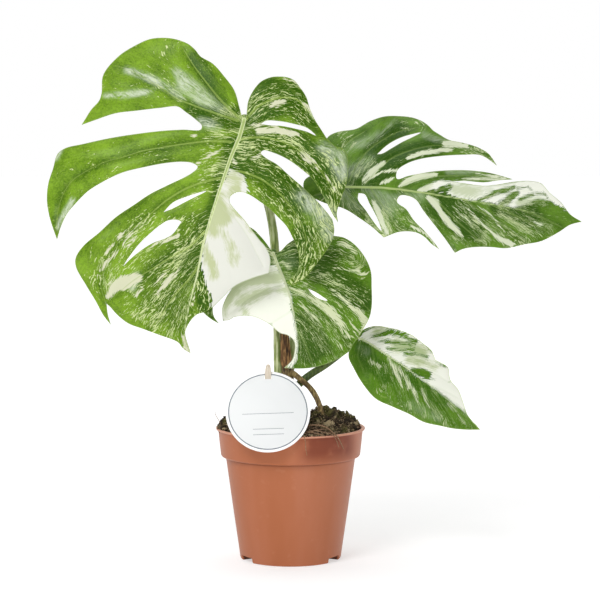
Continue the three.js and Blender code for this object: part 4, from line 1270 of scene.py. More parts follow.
# %% [markdown]
# ## Telling the material where it is
# The material can't know about veins and patches, so each blade carries four sets of three numbers
# at its points: the grain, the distances to midrib, vein and margin, the patches, and the washes.
# They are smooth, so the pattern that the material makes of them stays sharp at any size. The
# distance to a vein changes its sign as it crosses one, because a line that is thinner than the
# gap between two points can only be found where a value passes through nought.

# %% Numbers for the material
MID_GREEN_AND_SHADE_SHARE = 0.5


def signed_vein_gap(leaf, spots):
    """The distance to the nearest vein, with one sign on each side of it."""
    vein_gap = np.full(len(spots), 99.0)
    for veins in (leaf["veins_left"], leaf["veins_right"]):
        for k, vein in enumerate(veins):
            gap, _, side = measure(spots, smooth_vein(vein))
            nearer = gap < np.abs(vein_gap)
            vein_gap[nearer] = (gap * side * (-1) ** k)[nearer]
    return vein_gap


def paint_blade(leaf, blade):
    places = points_of(blade)
    spots = places[:, [0, 2]]
    out, over = grain_of(leaf, spots)
    behind = (places[:, 1] > blade_depth(leaf, spots[:, 0], spots[:, 1])).astype(float)
    rib_gap, rib_reach, _ = measure(spots, leaf["midrib"])
    rib_half = leaf["rib_radius"] * (0.68 - 0.58 * rib_reach / rib_reach.max())
    green = stroke_field(spots, leaf["green"])
    cream = stroke_field(spots, leaf["cream"])
    cream = np.where(green > 0, np.minimum(cream, -green), cream)
    white = np.minimum(area_field(spots, leaf["white"]), -green)
    flecks = soft_spread(spots, leaf["flecks"], most=leaf["fleck_most"])
    cloud = np.clip(stroke_field(spots, leaf["cloud"]), -12, 4)
    mid_green = soft_spread(spots, leaf["mid_green"])
    # The dark and mid green washes are deeper green and painted shade together.
    dark = soft_spread(spots, leaf["dark"]) + MID_GREEN_AND_SHADE_SHARE * mid_green
    sets = {
        "grain": (out, over, behind),
        "lines": (rib_gap - rib_half, signed_vein_gap(leaf, spots), margin_gaps(leaf, spots)),
        "marks": (cream, white, np.maximum(leaf["fleck_floor"], flecks)),
        "wash": (soft_spread(spots, leaf["bloom"], core=0.8), cloud, dark),
    }
    for key, columns in sets.items():
        data = blade.data.attributes.new(key, "FLOAT_VECTOR", "POINT").data
        data.foreach_set("vector", np.column_stack(columns).astype(np.float32).ravel())
    return len(sets)


for name, leaf in LEAVES.items():
    print("sets on the", name, "blade:", paint_blade(leaf, blades[name]))

# %% [markdown]
# ## Reading the numbers back
# The material finds each set by its name and takes it apart. So the drawing above and the paint
# below stay apart, and either can be changed alone.

# %% Painted values
PAINTED = {
    "grain": ("along", "across", "behind"),
    "lines": ("rib_gap", "vein_gap", "edge_gap"),
    "marks": ("cream", "white", "flecks"),
    "wash": ("bloom", "cloud", "dark"),
}


def painted_values(material):
    """A socket for each painted value, and the grain as a vector."""
    values = {}
    for key, names in PAINTED.items():
        vector = add_node(material, "Attribute", {}, attribute_name=key)["Vector"]
        values.update(zip(names, add_node(material, "SeparateXYZ", {0: vector})))
        values[key] = vector
    return values


print("painted values:", sum(len(names) for names in PAINTED.values()))

# %% [markdown]
# ## Streaks along the veins
# Green tissue and white tissue grow side by side in lines of cells, so the markings are streaks
# that follow the veins. They are noise that is stretched along the grain, in three sizes from 2 to
# 8 mm long and 0.3 to 1 mm wide, and a broad one for the slow changes. A slow second noise bends
# them, so that no two lie quite side by side.


# %% Streaks
def streaks(material, grain, length, width, detail, offset):
    """Noise stretched along the grain, with its length and width in millimetres."""
    spot = add_node(
        material,
        "VectorMath",
        {0: grain, 1: (1 / length, 1 / width, 0), 2: (offset, offset, offset)},
        operation="MULTIPLY_ADD",
    )[0]
    pattern = {"Vector": spot, "Scale": 1.0, "Detail": detail, "Roughness": 0.6}
    return add_node(material, "TexNoise", pattern)[0]


def leaf_patterns(material, straight, size):
    """Streaks of four sizes, a cloudy mottle and the fine grain of the cells."""
    body = add_node(material, "TexCoord", {})["Object"]
    slow, cloudy, cell = (
        add_node(material, "TexNoise", {"Vector": body, "Scale": scale, "Detail": detail})
        for scale, detail in ((110.0, 1.0), (60.0, 5.0), (700.0, 2.0))
    )
    grain = add_node(
        material,
        "VectorMath",
        {0: slow["Color"], 1: (4.0, 3.0, 0), 2: straight},
        operation="MULTIPLY_ADD",
    )[0]
    return {
        "tiny": streaks(material, grain, 2.2 * size, 0.45 * size, 1.0, 7.7),
        "fine": streaks(material, grain, 8.0 * size, 0.65 * size, 2.0, 3.1),
        "long": streaks(material, grain, 10.0 * size, 1.15 * size, 3.0, 17.3),
        "broad": streaks(material, grain, 32.0, 9.0, 2.0, 41.7),
        "mottle": cloudy[0],
        "cells": cell[0],
    }


print("the longest narrow streaks:", 10.0 * FRONT_LEAF["streak_size"], "mm")

# %% [markdown]
# ## Green tissue, flecks, bloom and painted highlight
# A monstera leaf is smooth and waxy, with cells that only show as a faint grain. Its green is deep
# near the veins, with painted shade in the vein grooves, and yellower towards the lobes. The colour
# is laid on as a painter glazes: green from bright to deep, then single pale cells, the silver bloom
# with its painted highlight, and pale dashes with a halo.


# %% Glazes on the green
def green_tissue(material, leaf, values, noises, off_vein):
    """Bright green, deeper near the veins and where the leaf is shaded: deeper tissue, painted
    shade.
    """
    # Near a vein the green is deeper, and darker still as painted shade in the vein's groove.
    vein_green_and_shade = add_node(
        material, "MapRange", {"Value": off_vein, "From Min": 5.0, "From Max": 0.5}
    )[0]
    deepness = mix_patterns(
        material,
        (values["dark"], 0.7),
        (vein_green_and_shade, 0.3),
        (noises["mottle"], 0.8),
        (noises["fine"], 0.5),
        (noises["broad"], 0.8),
        (noises["cells"], 0.9),
    )
    return glaze(material, linear(leaf["light"]), leaf["deep"], deepness, 1.0, 2.15)[0]


def flecks_bloom_and_highlight(material, leaf, values, noises, colour):
    """Single cells, silver bloom with painted highlight, and pale dashes, in order from below."""
    tiny, fine, long = noises["tiny"], noises["fine"], noises["long"]
    speckle = mix_patterns(material, (tiny, 0.6), (noises["cells"], 0.5))
    sheen = mix_patterns(material, (long, 0.8), (noises["mottle"], 0.6), (tiny, 0.3))
    amount = mix_patterns(material, (values["bloom"], leaf["bloom_strength"]))
    dashes = mix_patterns(
        material,
        (tiny, 0.35),
        (fine, 0.65),
        (long, 0.4),
        (noises["broad"], 0.35),
        (values["flecks"], leaf["fleck_gain"]),
    )
    for paint, field, low, high, strength in (
        (leaf["halo"], speckle, 0.57, 0.72, leaf["speckle"]),
        # the silver bloom, partly a painted highlight
        ("#c8d2ba", sheen, 0.6, 1.05, amount),
        (leaf["halo"], dashes, 1.06, 1.17, 0.35),
        (leaf["fleck"], dashes, 1.14, 1.18, 0.92),
    ):
        colour, _ = glaze(material, colour, paint, field, low, high, strength)
    return colour


print("paints on the green of a front lobe:", FRONT_LEAF["light"], "to", FRONT_LEAF["deep"])

# %% [markdown]
# ## Cream and white
# A mutation leaves some lines of cells without green. Where many lie together they make a patch
# with ragged edges, and a thin green layer below it shows through as a cloud.


# %% Glazes on the white
def white_patches(material, leaf, values, noises, colour):
    """Cream streaks, then white patches with ragged edges and pale green clouds in them."""
    mottle, fine, long = noises["mottle"], noises["fine"], noises["long"]
    ragged = leaf["ragged"]
    cream = mix_patterns(
        material,
        (values["cream"], 1.0),
        (long, 6.5 * ragged),
        (fine, 4.0 * ragged),
        (mottle, 1.5 * ragged),
        (1.0, 6.0 - 6.0 * ragged),
    )
    white = mix_patterns(material, (values["white"], 1.0), (long, 8.0), (fine, 5.0), (mottle, 5.0))
    cloud = mix_patterns(material, (values["cloud"], 1.0), (mottle, 18.0), (long, 10.0), (fine, 7.0))
    colour, _ = glaze(material, colour, leaf["halo"], cream, 5.4, 6.4, 0.4)
    colour, _ = glaze(material, colour, leaf["cream_colour"], cream, 6.05, 6.6, 0.97)
    colour, patch = glaze(material, colour, leaf["white_colour"], white, 8.6, 9.4)
    colour, pale = glaze(material, colour, leaf["cloud_pale"], cloud, 15.4, 17.6, patch)
    colour, _ = glaze(material, colour, leaf["cloud_deep"], cloud, 17.2, 20.6, pale)
    return colour, patch


print("glazes on the white: two for cream, one for white, two for clouds")

# %% [markdown]
# ## Variegated leaf skin
# The veins, the midrib and the edge come last, because they cross every patch. The midrib is pale
# with a greener groove in its middle, and the back of the blade is paler and duller. Veins are
# pressed in a little and the cells stand out. Water fills most of a leaf, so its index is near
# 1.4, and the wax makes it satin.


# %% Leaf skin
def leaf_veins(material, values):
    """How far a spot is off a vein, and off one that thins out towards the margin."""
    off_vein = add_node(material, "Math", {0: values["vein_gap"]}, operation="ABSOLUTE")[0]
    taper = {"Value": values["along"], "From Max": 90.0, "To Min": 0.7, "To Max": -0.1}
    taper = add_node(material, "MapRange", taper)[0]
    return off_vein, taper, mix_patterns(material, (off_vein, 1.0), (taper, -1.0))


def leaf_skin(name, leaf):
    material, shader = new_material(name)
    values = painted_values(material)
    noises = leaf_patterns(material, values["grain"], leaf["streak_size"])
    off_vein, taper, vein = leaf_veins(material, values)
    thin = {0: values["across"], 1: VEIN_SPACING / 8}
    thin = add_node(material, "Math", thin, operation="PINGPONG")[0]

    colour = green_tissue(material, leaf, values, noises, off_vein)
    colour, lines = glaze(material, colour, leaf["halo"], thin, 0.55, 0.1, 0.09)
    colour = flecks_bloom_and_highlight(material, leaf, values, noises, colour)
    colour, patch = white_patches(material, leaf, values, noises, colour)
    shown = leaf["vein_strength"]
    vein_strength = mix_patterns(material, (patch, -0.9 * shown), (taper, 0.1), (1.0, shown))
    colour, groove = glaze(material, colour, leaf["vein_colour"], vein, 0.5, 0.1, vein_strength)
    for paint, field, low, high, strength in (
        (leaf["edge_colour"], values["edge_gap"], 0.8, 0.2, 0.45),
        (leaf["rib_colour"], values["rib_gap"], 0.2, -0.25, 0.95),
        (leaf["rib_middle"], values["rib_gap"], -0.45, -0.9, 0.75),
        ("#8ea56c", values["behind"], 0.0, 1.0, 0.38),
    ):
        colour, _ = glaze(material, colour, paint, field, low, high, strength)
    dull = mix_patterns(
        material, (noises["mottle"], 0.14), (values["behind"], 0.2), (patch, 0.1), (1.0, 0.25)
    )
    height = mix_patterns(
        material,
        (noises["cells"], 0.25),
        (noises["long"], 0.5),
        (noises["mottle"], 0.6),
        (groove, -1.9),
        (lines, -2.2),
    )
    relief = add_node(material, "Bump", {"Height": height, "Strength": 0.35, "Distance": 0.0006})[0]
    set_sockets(shader, {"Base Color": colour, "Roughness": dull, "Normal": relief})
    set_sockets(shader, {"IOR": 1.42, "Specular IOR Level": 0.1})
    return material


SLOTS = {"front": "leaf_bright", "right": "leaf_deep", "middle": "leaf_deep", "lower": "leaf_deep"}
for name, leaf in LEAVES.items():
    finish_piece(
        blades[name], leaf_skin(name + "_variegated_leaf", leaf), SLOTS[name], "leaf_" + name
    )

# %% [markdown]
# ## Stalks, stem, sheath and root
# Each blade stands on a round, slightly grooved stalk that springs from a short thick stem. The
# stem carries rings where older leaves fell, a dry brown sheath clings to it, and a root has grown
# out into the air and down into the peat. A stop is a place and a radius. The stops are the
# solids' own, with a few moved by up to 4.4 mm or changed by about 1 mm in radius, so that the
# finer tubes lie closer to the real ones.

# %% Stops of the stem, sheath and root
MAIN_STEM = [
    (-9, 1, 72, 5), (-9, 1, 100, 6), (-8, 0.5, 116, 6.4), (-7, 0, 126, 5.6), (-4.8, 0, 137, 6.5),
    (-4, 0, 148, 6.8), (-3.5, 0, 154, 5.6), (-3.5, 0.5, 160, 4.2),
]
DRY_SHEATH = [
    (-2.8, -6.9, 153.5, 2.4), (-3.3, -6.9, 158, 4.4), (-3.9, -8.4, 168, 4.2),
    (-4.6, -10, 182, 3.4), (-4.9, -11, 190, 2.7), (-5.2, -11.5, 194, 1),
]
AERIAL_ROOT = [
    (-1.5, -2, 151, 2.2), (3, -5, 149, 2.3), (8, -6.5, 145, 2.3), (15, -8, 139, 2.2),
    (19.6, -9, 132.5, 2.2), (23, -10, 125.5, 2.2), (24.8, -10.5, 118, 2.1), (25, -10.5, 105, 2),
    (24, -10, 92, 1.4),
]
print("stem, sheath and root have", len(MAIN_STEM + DRY_SHEATH + AERIAL_ROOT), "stops")

# %% [markdown]
# ## The four stalks
# A stalk springs from the stem with a slightly thinner foot and bends over just below its blade.
# The right one has its foot behind the stem, so it tapers there until it lies hidden.

# %% Stops of the stalks
FRONT_STALK = [
    (-5.5, -1, 138, 3), (-9.5, -3.5, 147, 3.2), (-10.2, -3.5, 160, 3.3), (-10.4, -2, 184, 3.3),
    (-10.6, 0, 208, 3.4), (-11.3, 1, 232, 3.5), (-12.5, 1, 249, 3.5), (-14.2, 0, 266, 3.5),
    (-17.4, -1, 282, 3.4), (-24.5, -4, 304, 3.3), (-32, -9, 327, 3.2), (-35.5, -15, 343, 3),
    (-36, -26, 352, 3),
]
RIGHT_STALK = [
    (-3.6, 4.1, 126, 0.7), (-2.2, 4.4, 138, 2), (-0.2, 5, 149, 2.8), (0.8, 6, 158, 3),
    (2, 8, 176, 3), (4, 13, 208, 3), (8, 19, 246, 2.9), (12, 25, 272, 2.8), (18, 31, 290, 2.7),
    (24, 32, 298, 2.7), (28, 27, 301, 2.7),
]
MIDDLE_STALK = [
    (-4, -1, 152, 2), (-4.2, -3, 163, 2.2), (-4.6, -6, 190, 2.2), (-7, -9, 216, 2.1),
    (-10.5, -10.5, 236, 2), (-13, -13, 245, 2), (-13.5, -19, 247, 2),
]
LOWER_STALK = [
    (-6, 2, 126, 2.8), (1, 4.5, 133, 3), (8, 5.5, 141, 3.1), (16, 6, 147.6, 3),
    (28, 7, 155, 2.8), (42, 7.5, 165.5, 2.5), (51, 8, 174, 2.3), (55, 4.5, 177.5, 2.3),
]
print("tallest stalk:", max(stop[2] for stop in FRONT_STALK), "mm")

# %% [markdown]
# ## Living stalk tissue
# A fresh stalk is green and satin, with small freckles and fine pale lines along it. The real
# lines are about half a millimetre apart, and they are drawn about three times as coarse so that
# they show. Object coordinates run nearly along the stalks, because they stand nearly upright, so
# noise that is stretched in z gives those lines. Bark, dry sheath and root skin are the same
# tissue grown old: browner, duller, and with shorter marks.


# %% Stalk material
def stalk_tissue(name, base, pale, dark, stretch, rough=0.42, lines=0.55):
    """Tissue with lines along z. The stretch is the noise's scale each way, for each metre."""
    material, shader = new_material(name)
    body = add_node(material, "TexCoord", {})["Object"]
    scaled = add_node(material, "VectorMath", {0: body, 1: stretch}, operation="MULTIPLY")[0]
    fibres, blotch = (
        add_node(material, "TexNoise", {"Vector": spot, "Scale": scale, "Detail": detail})[0]
        for spot, scale, detail in ((scaled, 1.0, 3.0), (body, 90.0, 4.0))
    )
    colour = linear(base)
    for paint, field, low, high, strength in (
        (pale, fibres, 0.5, 0.62, lines),
        (dark, fibres, 0.5, 0.38, lines),
        (dark, blotch, 0.5, 0.75, 0.5),
        (pale, blotch, 0.48, 0.3, 0.4),
    ):
        colour, _ = glaze(material, colour, paint, field, low, high, strength)
    relief = add_node(material, "Bump", {"Height": fibres, "Strength": 0.4, "Distance": 0.0004})[0]
    set_sockets(shader, {"Base Color": colour, "Normal": relief, "Roughness": rough, "IOR": 1.42})
    return material


STALK_LINES = (600, 600, 25)
stalk_green = stalk_tissue(
    "fresh_green_stalk", "#9ca964", "#d3d8ac", "#66763a", STALK_LINES, lines=0.9
)
# The middle and lower stalks behind the blades take darker copies of this tissue as painted shade.
stalk_shaded_middle = stalk_tissue("shaded_middle_stalk", "#6a8440", "#a3b274", "#3c5424", STALK_LINES)
stalk_shade = stalk_tissue("shaded_stalk", "#42571f", "#6d8239", "#27310f", STALK_LINES)
stem_bark = stalk_tissue(
    "green_brown_stem", "#5e4c30", "#8d7c4c", "#2e2116", (600, 600, 160), 0.6, 0.8
)
sheath_paper = stalk_tissue(
    "dry_brown_sheath", "#6b4a2a", "#a37c4c", "#281a0f", (800, 800, 35), 0.75, 0.9
)
root_skin = stalk_tissue(
    "corky_root_skin", "#75613c", "#a8955f", "#44331f", (700, 700, 260), 0.75, 0.7
)
print("lines on a stalk, mm apart:", round(1000 / STALK_LINES[0], 1))

# %% [markdown]
# ## Dents and knobbles
# A plain tube looks drawn with a ruler. So a smooth noise moves its points in and out: a little on
# the stalks, and more on the stem, the root and the sheath, which are knobbly in life.


# %% Rough surfaces on tubes
def roughen(piece, amount, size, seed):
    """Moves the points along their normals by a smooth noise, in millimetres."""
    shift = Vector((seed, seed * 1.7, seed * 0.3))
    moved = []
    for vertex in piece.data.vertices:
        bump = noise.fractal(vertex.co / (size * MM) + shift, 0.9, 2.0, 3)
        moved.append(vertex.co + vertex.normal * bump * amount * MM)
    piece.data.vertices.foreach_set("co", np.array(moved).ravel())
    piece.data.update()


for node_name, stops, material, slot, amount in (
    ("stalk_front", FRONT_STALK, stalk_green, "stalk", 0.12),
    ("stalk_right", RIGHT_STALK, stalk_green, "stalk", 0.1),
    ("stalk_middle", MIDDLE_STALK, stalk_shaded_middle, "stalk", 0.1),
    ("stalk_lower", LOWER_STALK, stalk_shade, "stalk", 0.1),
    ("main_stem", MAIN_STEM, stem_bark, "stem", 0.45),
    ("aerial_root", AERIAL_ROOT, root_skin, "root", 0.3),
):
    limb = tube("fine_" + node_name, stops, sides=24, parts=14)
    roughen(limb, amount, 6, len(node_name))
    finish_piece(limb, material, slot, node_name)
sheath = tube("fine_dry_sheath", DRY_SHEATH, sides=24, parts=14, flat=0.3)
roughen(sheath, 0.25, 4, 3)
finish_piece(sheath, sheath_paper, "dry_sheath", "dry_sheath")

# %% [markdown]
# ## The nursery pot
# The pot is injection-moulded polypropylene: one thin wall that widens upwards, a band that steps
# out, a rolled lip, and a base with three drainage channels and their holes. A wall that is the
# same all round is a profile spun about the upright axis, and the channels are then cut in.

# %% Spin the pot's wall
POT_PROFILE = [
    (0, 0), (38, 0), (39.6, 0), (40.4, 0.4), (40.7, 1.2), (46.6, 42), (52.1, 81.5), (52.2, 82.2),
    (52.6, 82.5), (54.5, 82.7), (55.4, 83.1), (56, 83.9), (56.2, 85), (57.1, 93), (57.9, 101),
    (58.1, 103.2), (58.35, 103.9), (58.9, 104.2), (59.6, 104.35), (59.9, 104.7), (60, 105.1),
    (59.9, 105.55), (59.6, 105.85), (59.2, 106), (58.2, 106), (57.4, 105.8), (56.9, 105.2),
    (56.5, 104), (54.9, 85), (50.9, 81), (39.6, 2.6), (39.2, 1.9), (38.4, 1.6), (0, 1.6),
]
POT_STEPS = 160


def spin_profile(name, profile, steps):
    """Extrudes a chain of points through the profile and spins it about the z axis."""
    pick()
    bpy.ops.mesh.primitive_plane_add(size=1)
    piece = name_piece(name)
    bpy.ops.object.mode_set(mode="EDIT")
    bpy.ops.mesh.merge(type="CENTER")
    for (ra, za), (rb, zb) in zip([(0, 0), *profile], profile):
        step = ((rb - ra) * MM, 0, (zb - za) * MM)
        if step != (0, 0, 0):
            bpy.ops.mesh.extrude_region_move(TRANSFORM_OT_translate={"value": step})
    bpy.ops.mesh.select_all(action="SELECT")
    bpy.ops.mesh.spin(
        steps=steps, angle=2 * math.pi, center=(0, 0, 0), axis=(0, 0, 1), use_auto_merge=True
    )
    bpy.ops.mesh.select_all(action="SELECT")
    bpy.ops.mesh.remove_doubles(threshold=0.00002)
    leave_edit()
    return piece


pot = spin_profile("nursery_pot", POT_PROFILE, POT_STEPS)
print("spun faces:", len(pot.data.polygons))

# %% [markdown]
# ## Channels and holes
# Each channel is a box with its upper edges bevelled. A box that is one wall larger is joined to
# the pot first, as the hump that shows on the pot's floor, and then the channel is cut out of it.

# %% Cut the drainage channels
CHANNEL_TURNS = (-150, -30, 90)
CHANNEL_START, CHANNEL_WIDTH, CHANNEL_HEIGHT = 15, 17, 4.2
HUMP_WALL = 1.3
DRAIN_PLACE, DRAIN_RADIUS = 28, 4.5


def channel_box(turn, grow, reach, foot):
    """A box from near the middle outwards, grown on each side, from its foot up."""
    high = CHANNEL_HEIGHT + grow
    start = CHANNEL_START - grow
    pick()
    bpy.ops.mesh.primitive_cube_add(size=1)
    box = name_piece("channel")
    box.scale = ((reach - start) * MM, (CHANNEL_WIDTH + 2 * grow) * MM, (high - foot) * MM)
    box.location = ((reach + start) / 2 * MM, 0, (high + foot) / 2 * MM)
    bpy.ops.object.transform_apply()
    apply_modifier(box, "BEVEL", width=1.2 * MM, segments=3)
    box.rotation_euler = (0, 0, math.radians(turn))
    pick(box)
    bpy.ops.object.transform_apply()
    return box


for turn in CHANNEL_TURNS:
    combine(pot, channel_box(turn, HUMP_WALL, 38, 0.4), "UNION")
for turn in CHANNEL_TURNS:
    combine(pot, channel_box(turn, 0, 60, -5), "DIFFERENCE")
    way = math.radians(turn)
    place = (DRAIN_PLACE * MM * math.cos(way), DRAIN_PLACE * MM * math.sin(way), 0)
    pick()
    bpy.ops.mesh.primitive_cylinder_add(
        vertices=32, radius=DRAIN_RADIUS * MM, depth=20 * MM, location=place
    )
    combine(pot, name_piece("drain"), "DIFFERENCE")
print("pot faces:", len(pot.data.polygons))

# %% [markdown]
# ## Moulded polypropylene
# The plastic takes a satin skin from its mould, so it shows wide soft highlights and no mirror. It
# is a terracotta pigment in a slightly clear plastic of index 1.49. Flow in the mould leaves broad
# upright bands, and handling leaves faint scuffs.

# %% Noises on the pot
pot_plastic, shader = new_material("terracotta_polypropylene")
body = add_node(pot_plastic, "TexCoord", {})["Object"]
upright = add_node(pot_plastic, "VectorMath", {0: body, 1: (28, 28, 5)}, operation="MULTIPLY")[0]
flow, skin, scuffs, shadow_and_stain_noise = (
    add_node(pot_plastic, "TexNoise", {"Vector": vector, "Scale": scale, "Detail": detail})[0]
    for vector, scale, detail in (
        (upright, 1.0, 3.0),
        (body, 1400.0, 2.0),
        (body, 160.0, 6.0),
        (body, 60.0, 4.0),
    )
)
across, depth, height = add_node(pot_plastic, "SeparateXYZ", {0: body})
level = add_node(pot_plastic, "VectorMath", {0: body, 1: (1, 1, 0)}, operation="MULTIPLY")
axis_gap = add_node(pot_plastic, "VectorMath", {0: level[0]}, operation="LENGTH")[1]
print("nodes so far:", len(pot_plastic.node_tree.nodes))

# %% [markdown]
# ## Painted shadow, shade and a stain on the pot
# The band at the front right is darkened under the peat's spill: a painted shadow of the card, the
# leaves and the lip, with a damp peat stain. The corner under the band and the channels are darkened
# as painted shade. A mark is kept to one part of the pot by a chain of soft edges: each edge takes
# what the one before it let through.


# %% Stains
def kept_between(strength, *edges):
    """A strength that only holds past all the soft edges, each a value with two limits."""
    for value, low, high in edges:
        limits = {"Value": value, "From Min": low, "From Max": high, "To Max": strength}
        strength = add_node(pot_plastic, "MapRange", limits, interpolation_type="SMOOTHSTEP")[0]
    return strength


# Painted shadow of the card, leaves and lip on the band, with a damp peat stain under the spill.
band_shadow_and_stain = kept_between(
    0.75,
    (across, 0, 18 * MM),
    (across, 56 * MM, 44 * MM),
    (depth, -12 * MM, -30 * MM),
    (height, 78 * MM, 94 * MM),
    (height, 104.6 * MM, 104.2 * MM),
)
# Painted shade in the corner under the band and inside the drainage channels.
under_band_shade = kept_between(0.5, (height, 80.6 * MM, 82.2 * MM))
channel_shade = kept_between(0.85, (height, 4.6 * MM, 3.6 * MM))
print("stains: spill, corner, channels")

# %% [markdown]
# ## The pot's colour
# The paints go on from the widest to the smallest: flow bands, scuffs, the spill's painted shadow
# and stain, a painted highlight on the lip's top edge, and painted shade under the band and in the
# channels. The fine skin of the mould only bends the light.

# %% Pot material
colour = linear("#af6845")
for paint, field, low, high, strength in (
    ("#b8765a", flow, 0.45, 0.7, 0.5),
    ("#a65f38", flow, 0.52, 0.3, 0.5),
    ("#cf9478", scuffs, 0.6, 0.75, 0.1),
    # painted shadow and damp stain on the band at the front right
    ("#6b2410", shadow_and_stain_noise, 0.1, 0.5, band_shadow_and_stain),
    # painted highlight along the lip's top edge
    ("#d29b82", height, 104.3 * MM, 104.8 * MM, 0.75),
    # painted shade in the corner under the band
    ("#6b3823", height, 83.0 * MM, 82.6 * MM, under_band_shade),
    # painted shade inside the channels
    ("#3a2018", axis_gap, 40 * MM, 38.5 * MM, channel_shade),
):
    colour, _ = glaze(pot_plastic, colour, paint, field, low, high, strength)
rough = add_node(pot_plastic, "MapRange", {"Value": scuffs, "To Min": 0.36, "To Max": 0.5})[0]
relief = add_node(pot_plastic, "Bump", {"Height": skin, "Strength": 0.08, "Distance": 0.0002})[0]
set_sockets(shader, {"Base Color": colour, "Roughness": rough, "Normal": relief})
set_sockets(shader, {"IOR": 1.49, "Specular IOR Level": 0.27})
finish_piece(pot, pot_plastic, "pot_plastic", "pot", angle=35)

# %% [markdown]
# ## The peat's surface
# The root ball fills the pot, and its top is a mound of coarse peat with a few heaps. Waves give
# the clods, the same as on the solid, and noise gives the finer lumps.

# %% Height of the peat
PEAT_RADIUS = 55.8
HEAPS = ((-50, 0, 8.0, 7, 26), (46, 4, 5.5, 12, 20), (18, -45, 6.0, 13, 9), (25, 0, 7.0, 13, 22))


def peat_surface(x, y):
    """The mound with its clods, heaps and rougher lumps, in millimetres."""
    out = min(math.hypot(x, y) / PEAT_RADIUS, 1)
    mound = 9 * (1 - out**2.4) + 3 * math.exp(-((x - 36) ** 2 + y**2) / 300)
    clods = (
        1.1 * math.sin(0.31 * x + 0.12 * y + 1) * math.cos(0.27 * y - 0.08 * x)
        + 0.7 * math.sin(0.62 * x - 0.5 * y + 2)
        + 0.4 * math.sin(1.1 * x + 0.8 * y)
    )
    spot = Vector((x, y, 0))
    lumps = noise.fractal(spot / 9, 0.8, 2.0, 4) * 1.6 + noise.fractal(spot / 2.2, 0.7, 2, 4) * 1.0
    heaps = sum(
        tall * math.exp(-(((x - across) / wide) ** 2) - ((y - along) / deep) ** 2)
        for across, along, tall, wide, deep in HEAPS
    )
    return 103 + mound + clods * (1.15 - 0.6 * out) + heaps + lumps * (1 - 0.4 * out)


print("height of the peat in the middle:", round(peat_surface(0, 0), 1))

# %% [markdown]
# ## The root ball
# The peat is one closed block that fills the pot. It is a circle that is extruded up the wall and
# then inwards, ring by ring, so that its top has points to rough up. A flat lid would have none.

# %% Root ball
PEAT_RINGS = [(38.8, 6), (50.6, 81), (54.6, 85.5), (PEAT_RADIUS, 100)]
PEAT_RINGS += [(radius, 103) for radius in np.linspace(54.6, 1.2, 44)]

pick()
bpy.ops.mesh.primitive_circle_add(
    vertices=200, radius=PEAT_RINGS[0][0] * MM, fill_type="NGON", location=(0, 0, 6 * MM)
)
peat = name_piece("root_ball")
bpy.ops.object.transform_apply()
bpy.ops.object.mode_set(mode="EDIT")
for (ra, za), (rb, zb) in zip(PEAT_RINGS, PEAT_RINGS[1:]):
    bpy.ops.mesh.extrude_region_move(TRANSFORM_OT_translate={"value": (0, 0, (zb - za) * MM)})
    bpy.ops.transform.resize(value=(rb / ra, rb / ra, 1))
leave_edit()
for vertex in peat.data.vertices:
    if vertex.co.z > 102 * MM:
        vertex.co.z = peat_surface(vertex.co.x / MM, vertex.co.y / MM) * MM
peat.data.update()
print("root ball points:", len(peat.data.vertices))

# %% [markdown]
# ## Many small things in one mesh
# Crumbs and fibres are modelled once, as one rough lump and one bent splinter, and then copied. A
# thousand objects would be slow, so the copies' points are gathered into one mesh, each copy
# turned, stretched and given its own tone for the material.

# %% Scatter copies into one mesh
luck = random.Random(7)


def scatter(name, model, places):
    """Copies a model to each (place, rotation, stretch, tone), all as one mesh."""
    points = np.array([vertex.co for vertex in model.data.vertices])
    faces = [list(face.vertices) for face in model.data.polygons]
    all_points, all_faces, tones = [], [], []
    for place, turn, stretch, tone in places:
        start = len(all_points) * len(points)
        all_points.append((points * stretch) @ np.array(turn).T + place)
        all_faces += [[start + k for k in face] for face in faces]
        tones += [tone] * len(points)
    mesh = bpy.data.meshes.new(name)
    mesh.from_pydata(np.concatenate(all_points), [], all_faces)
    piece = bpy.data.objects.new(name, mesh)
    bpy.context.collection.objects.link(piece)
    mesh.attributes.new("tone", "FLOAT", "POINT").data.foreach_set("value", tones)
    bpy.data.objects.remove(model)
    print(name, "copies:", len(places))
    return piece


def random_turn():
    axis = Vector((luck.gauss(0, 1), luck.gauss(0, 1), luck.gauss(0, 0.7))).normalized()
    return axis.to_track_quat("Z", "Y").to_matrix()


print("seeded, so the same peat each time")

# %% [markdown]
# ## Crumbs and lumps
# A crumb is a ball of few faces with its points pushed in and out. Most lie all over the mound,
# and some where the peat has spilled onto the lip at the front and at the left.

# %% Crumbs
LIP_TOP = 106.2
LIP_START = 56


def rough_lump(name, subdivisions, seed):
    pick()
    bpy.ops.mesh.primitive_ico_sphere_add(subdivisions=subdivisions, radius=1)
    lump = name_piece(name)
    for vertex in lump.data.vertices:
        spot = vertex.co + Vector((seed, 0, 0))
        vertex.co *= 1 + 0.7 * noise.noise(spot * 1.7) + 0.4 * noise.noise(spot * 4.1)
    return lump


def crumb_places(count, sizes, low, high, first=0.0, last=2 * math.pi):
    """Places on the peat between two radii and two angles."""
    made = []
    for _ in range(count):
        reach = math.sqrt(luck.uniform(low**2, high**2))
        turn = luck.uniform(first, last)
        x, y = reach * math.cos(turn), reach * math.sin(turn)
        size = luck.choice(sizes) * luck.uniform(0.75, 1.3)
        height = max(peat_surface(x, y), LIP_TOP if reach > LIP_START else 0)
        place = np.array((x, y, height + size * luck.uniform(-0.3, 0.7))) * MM
        stretch = np.array([luck.uniform(0.6, 1.4) for _ in range(3)]) * size * MM
        made.append((place, random_turn(), stretch, luck.random()))
    return made


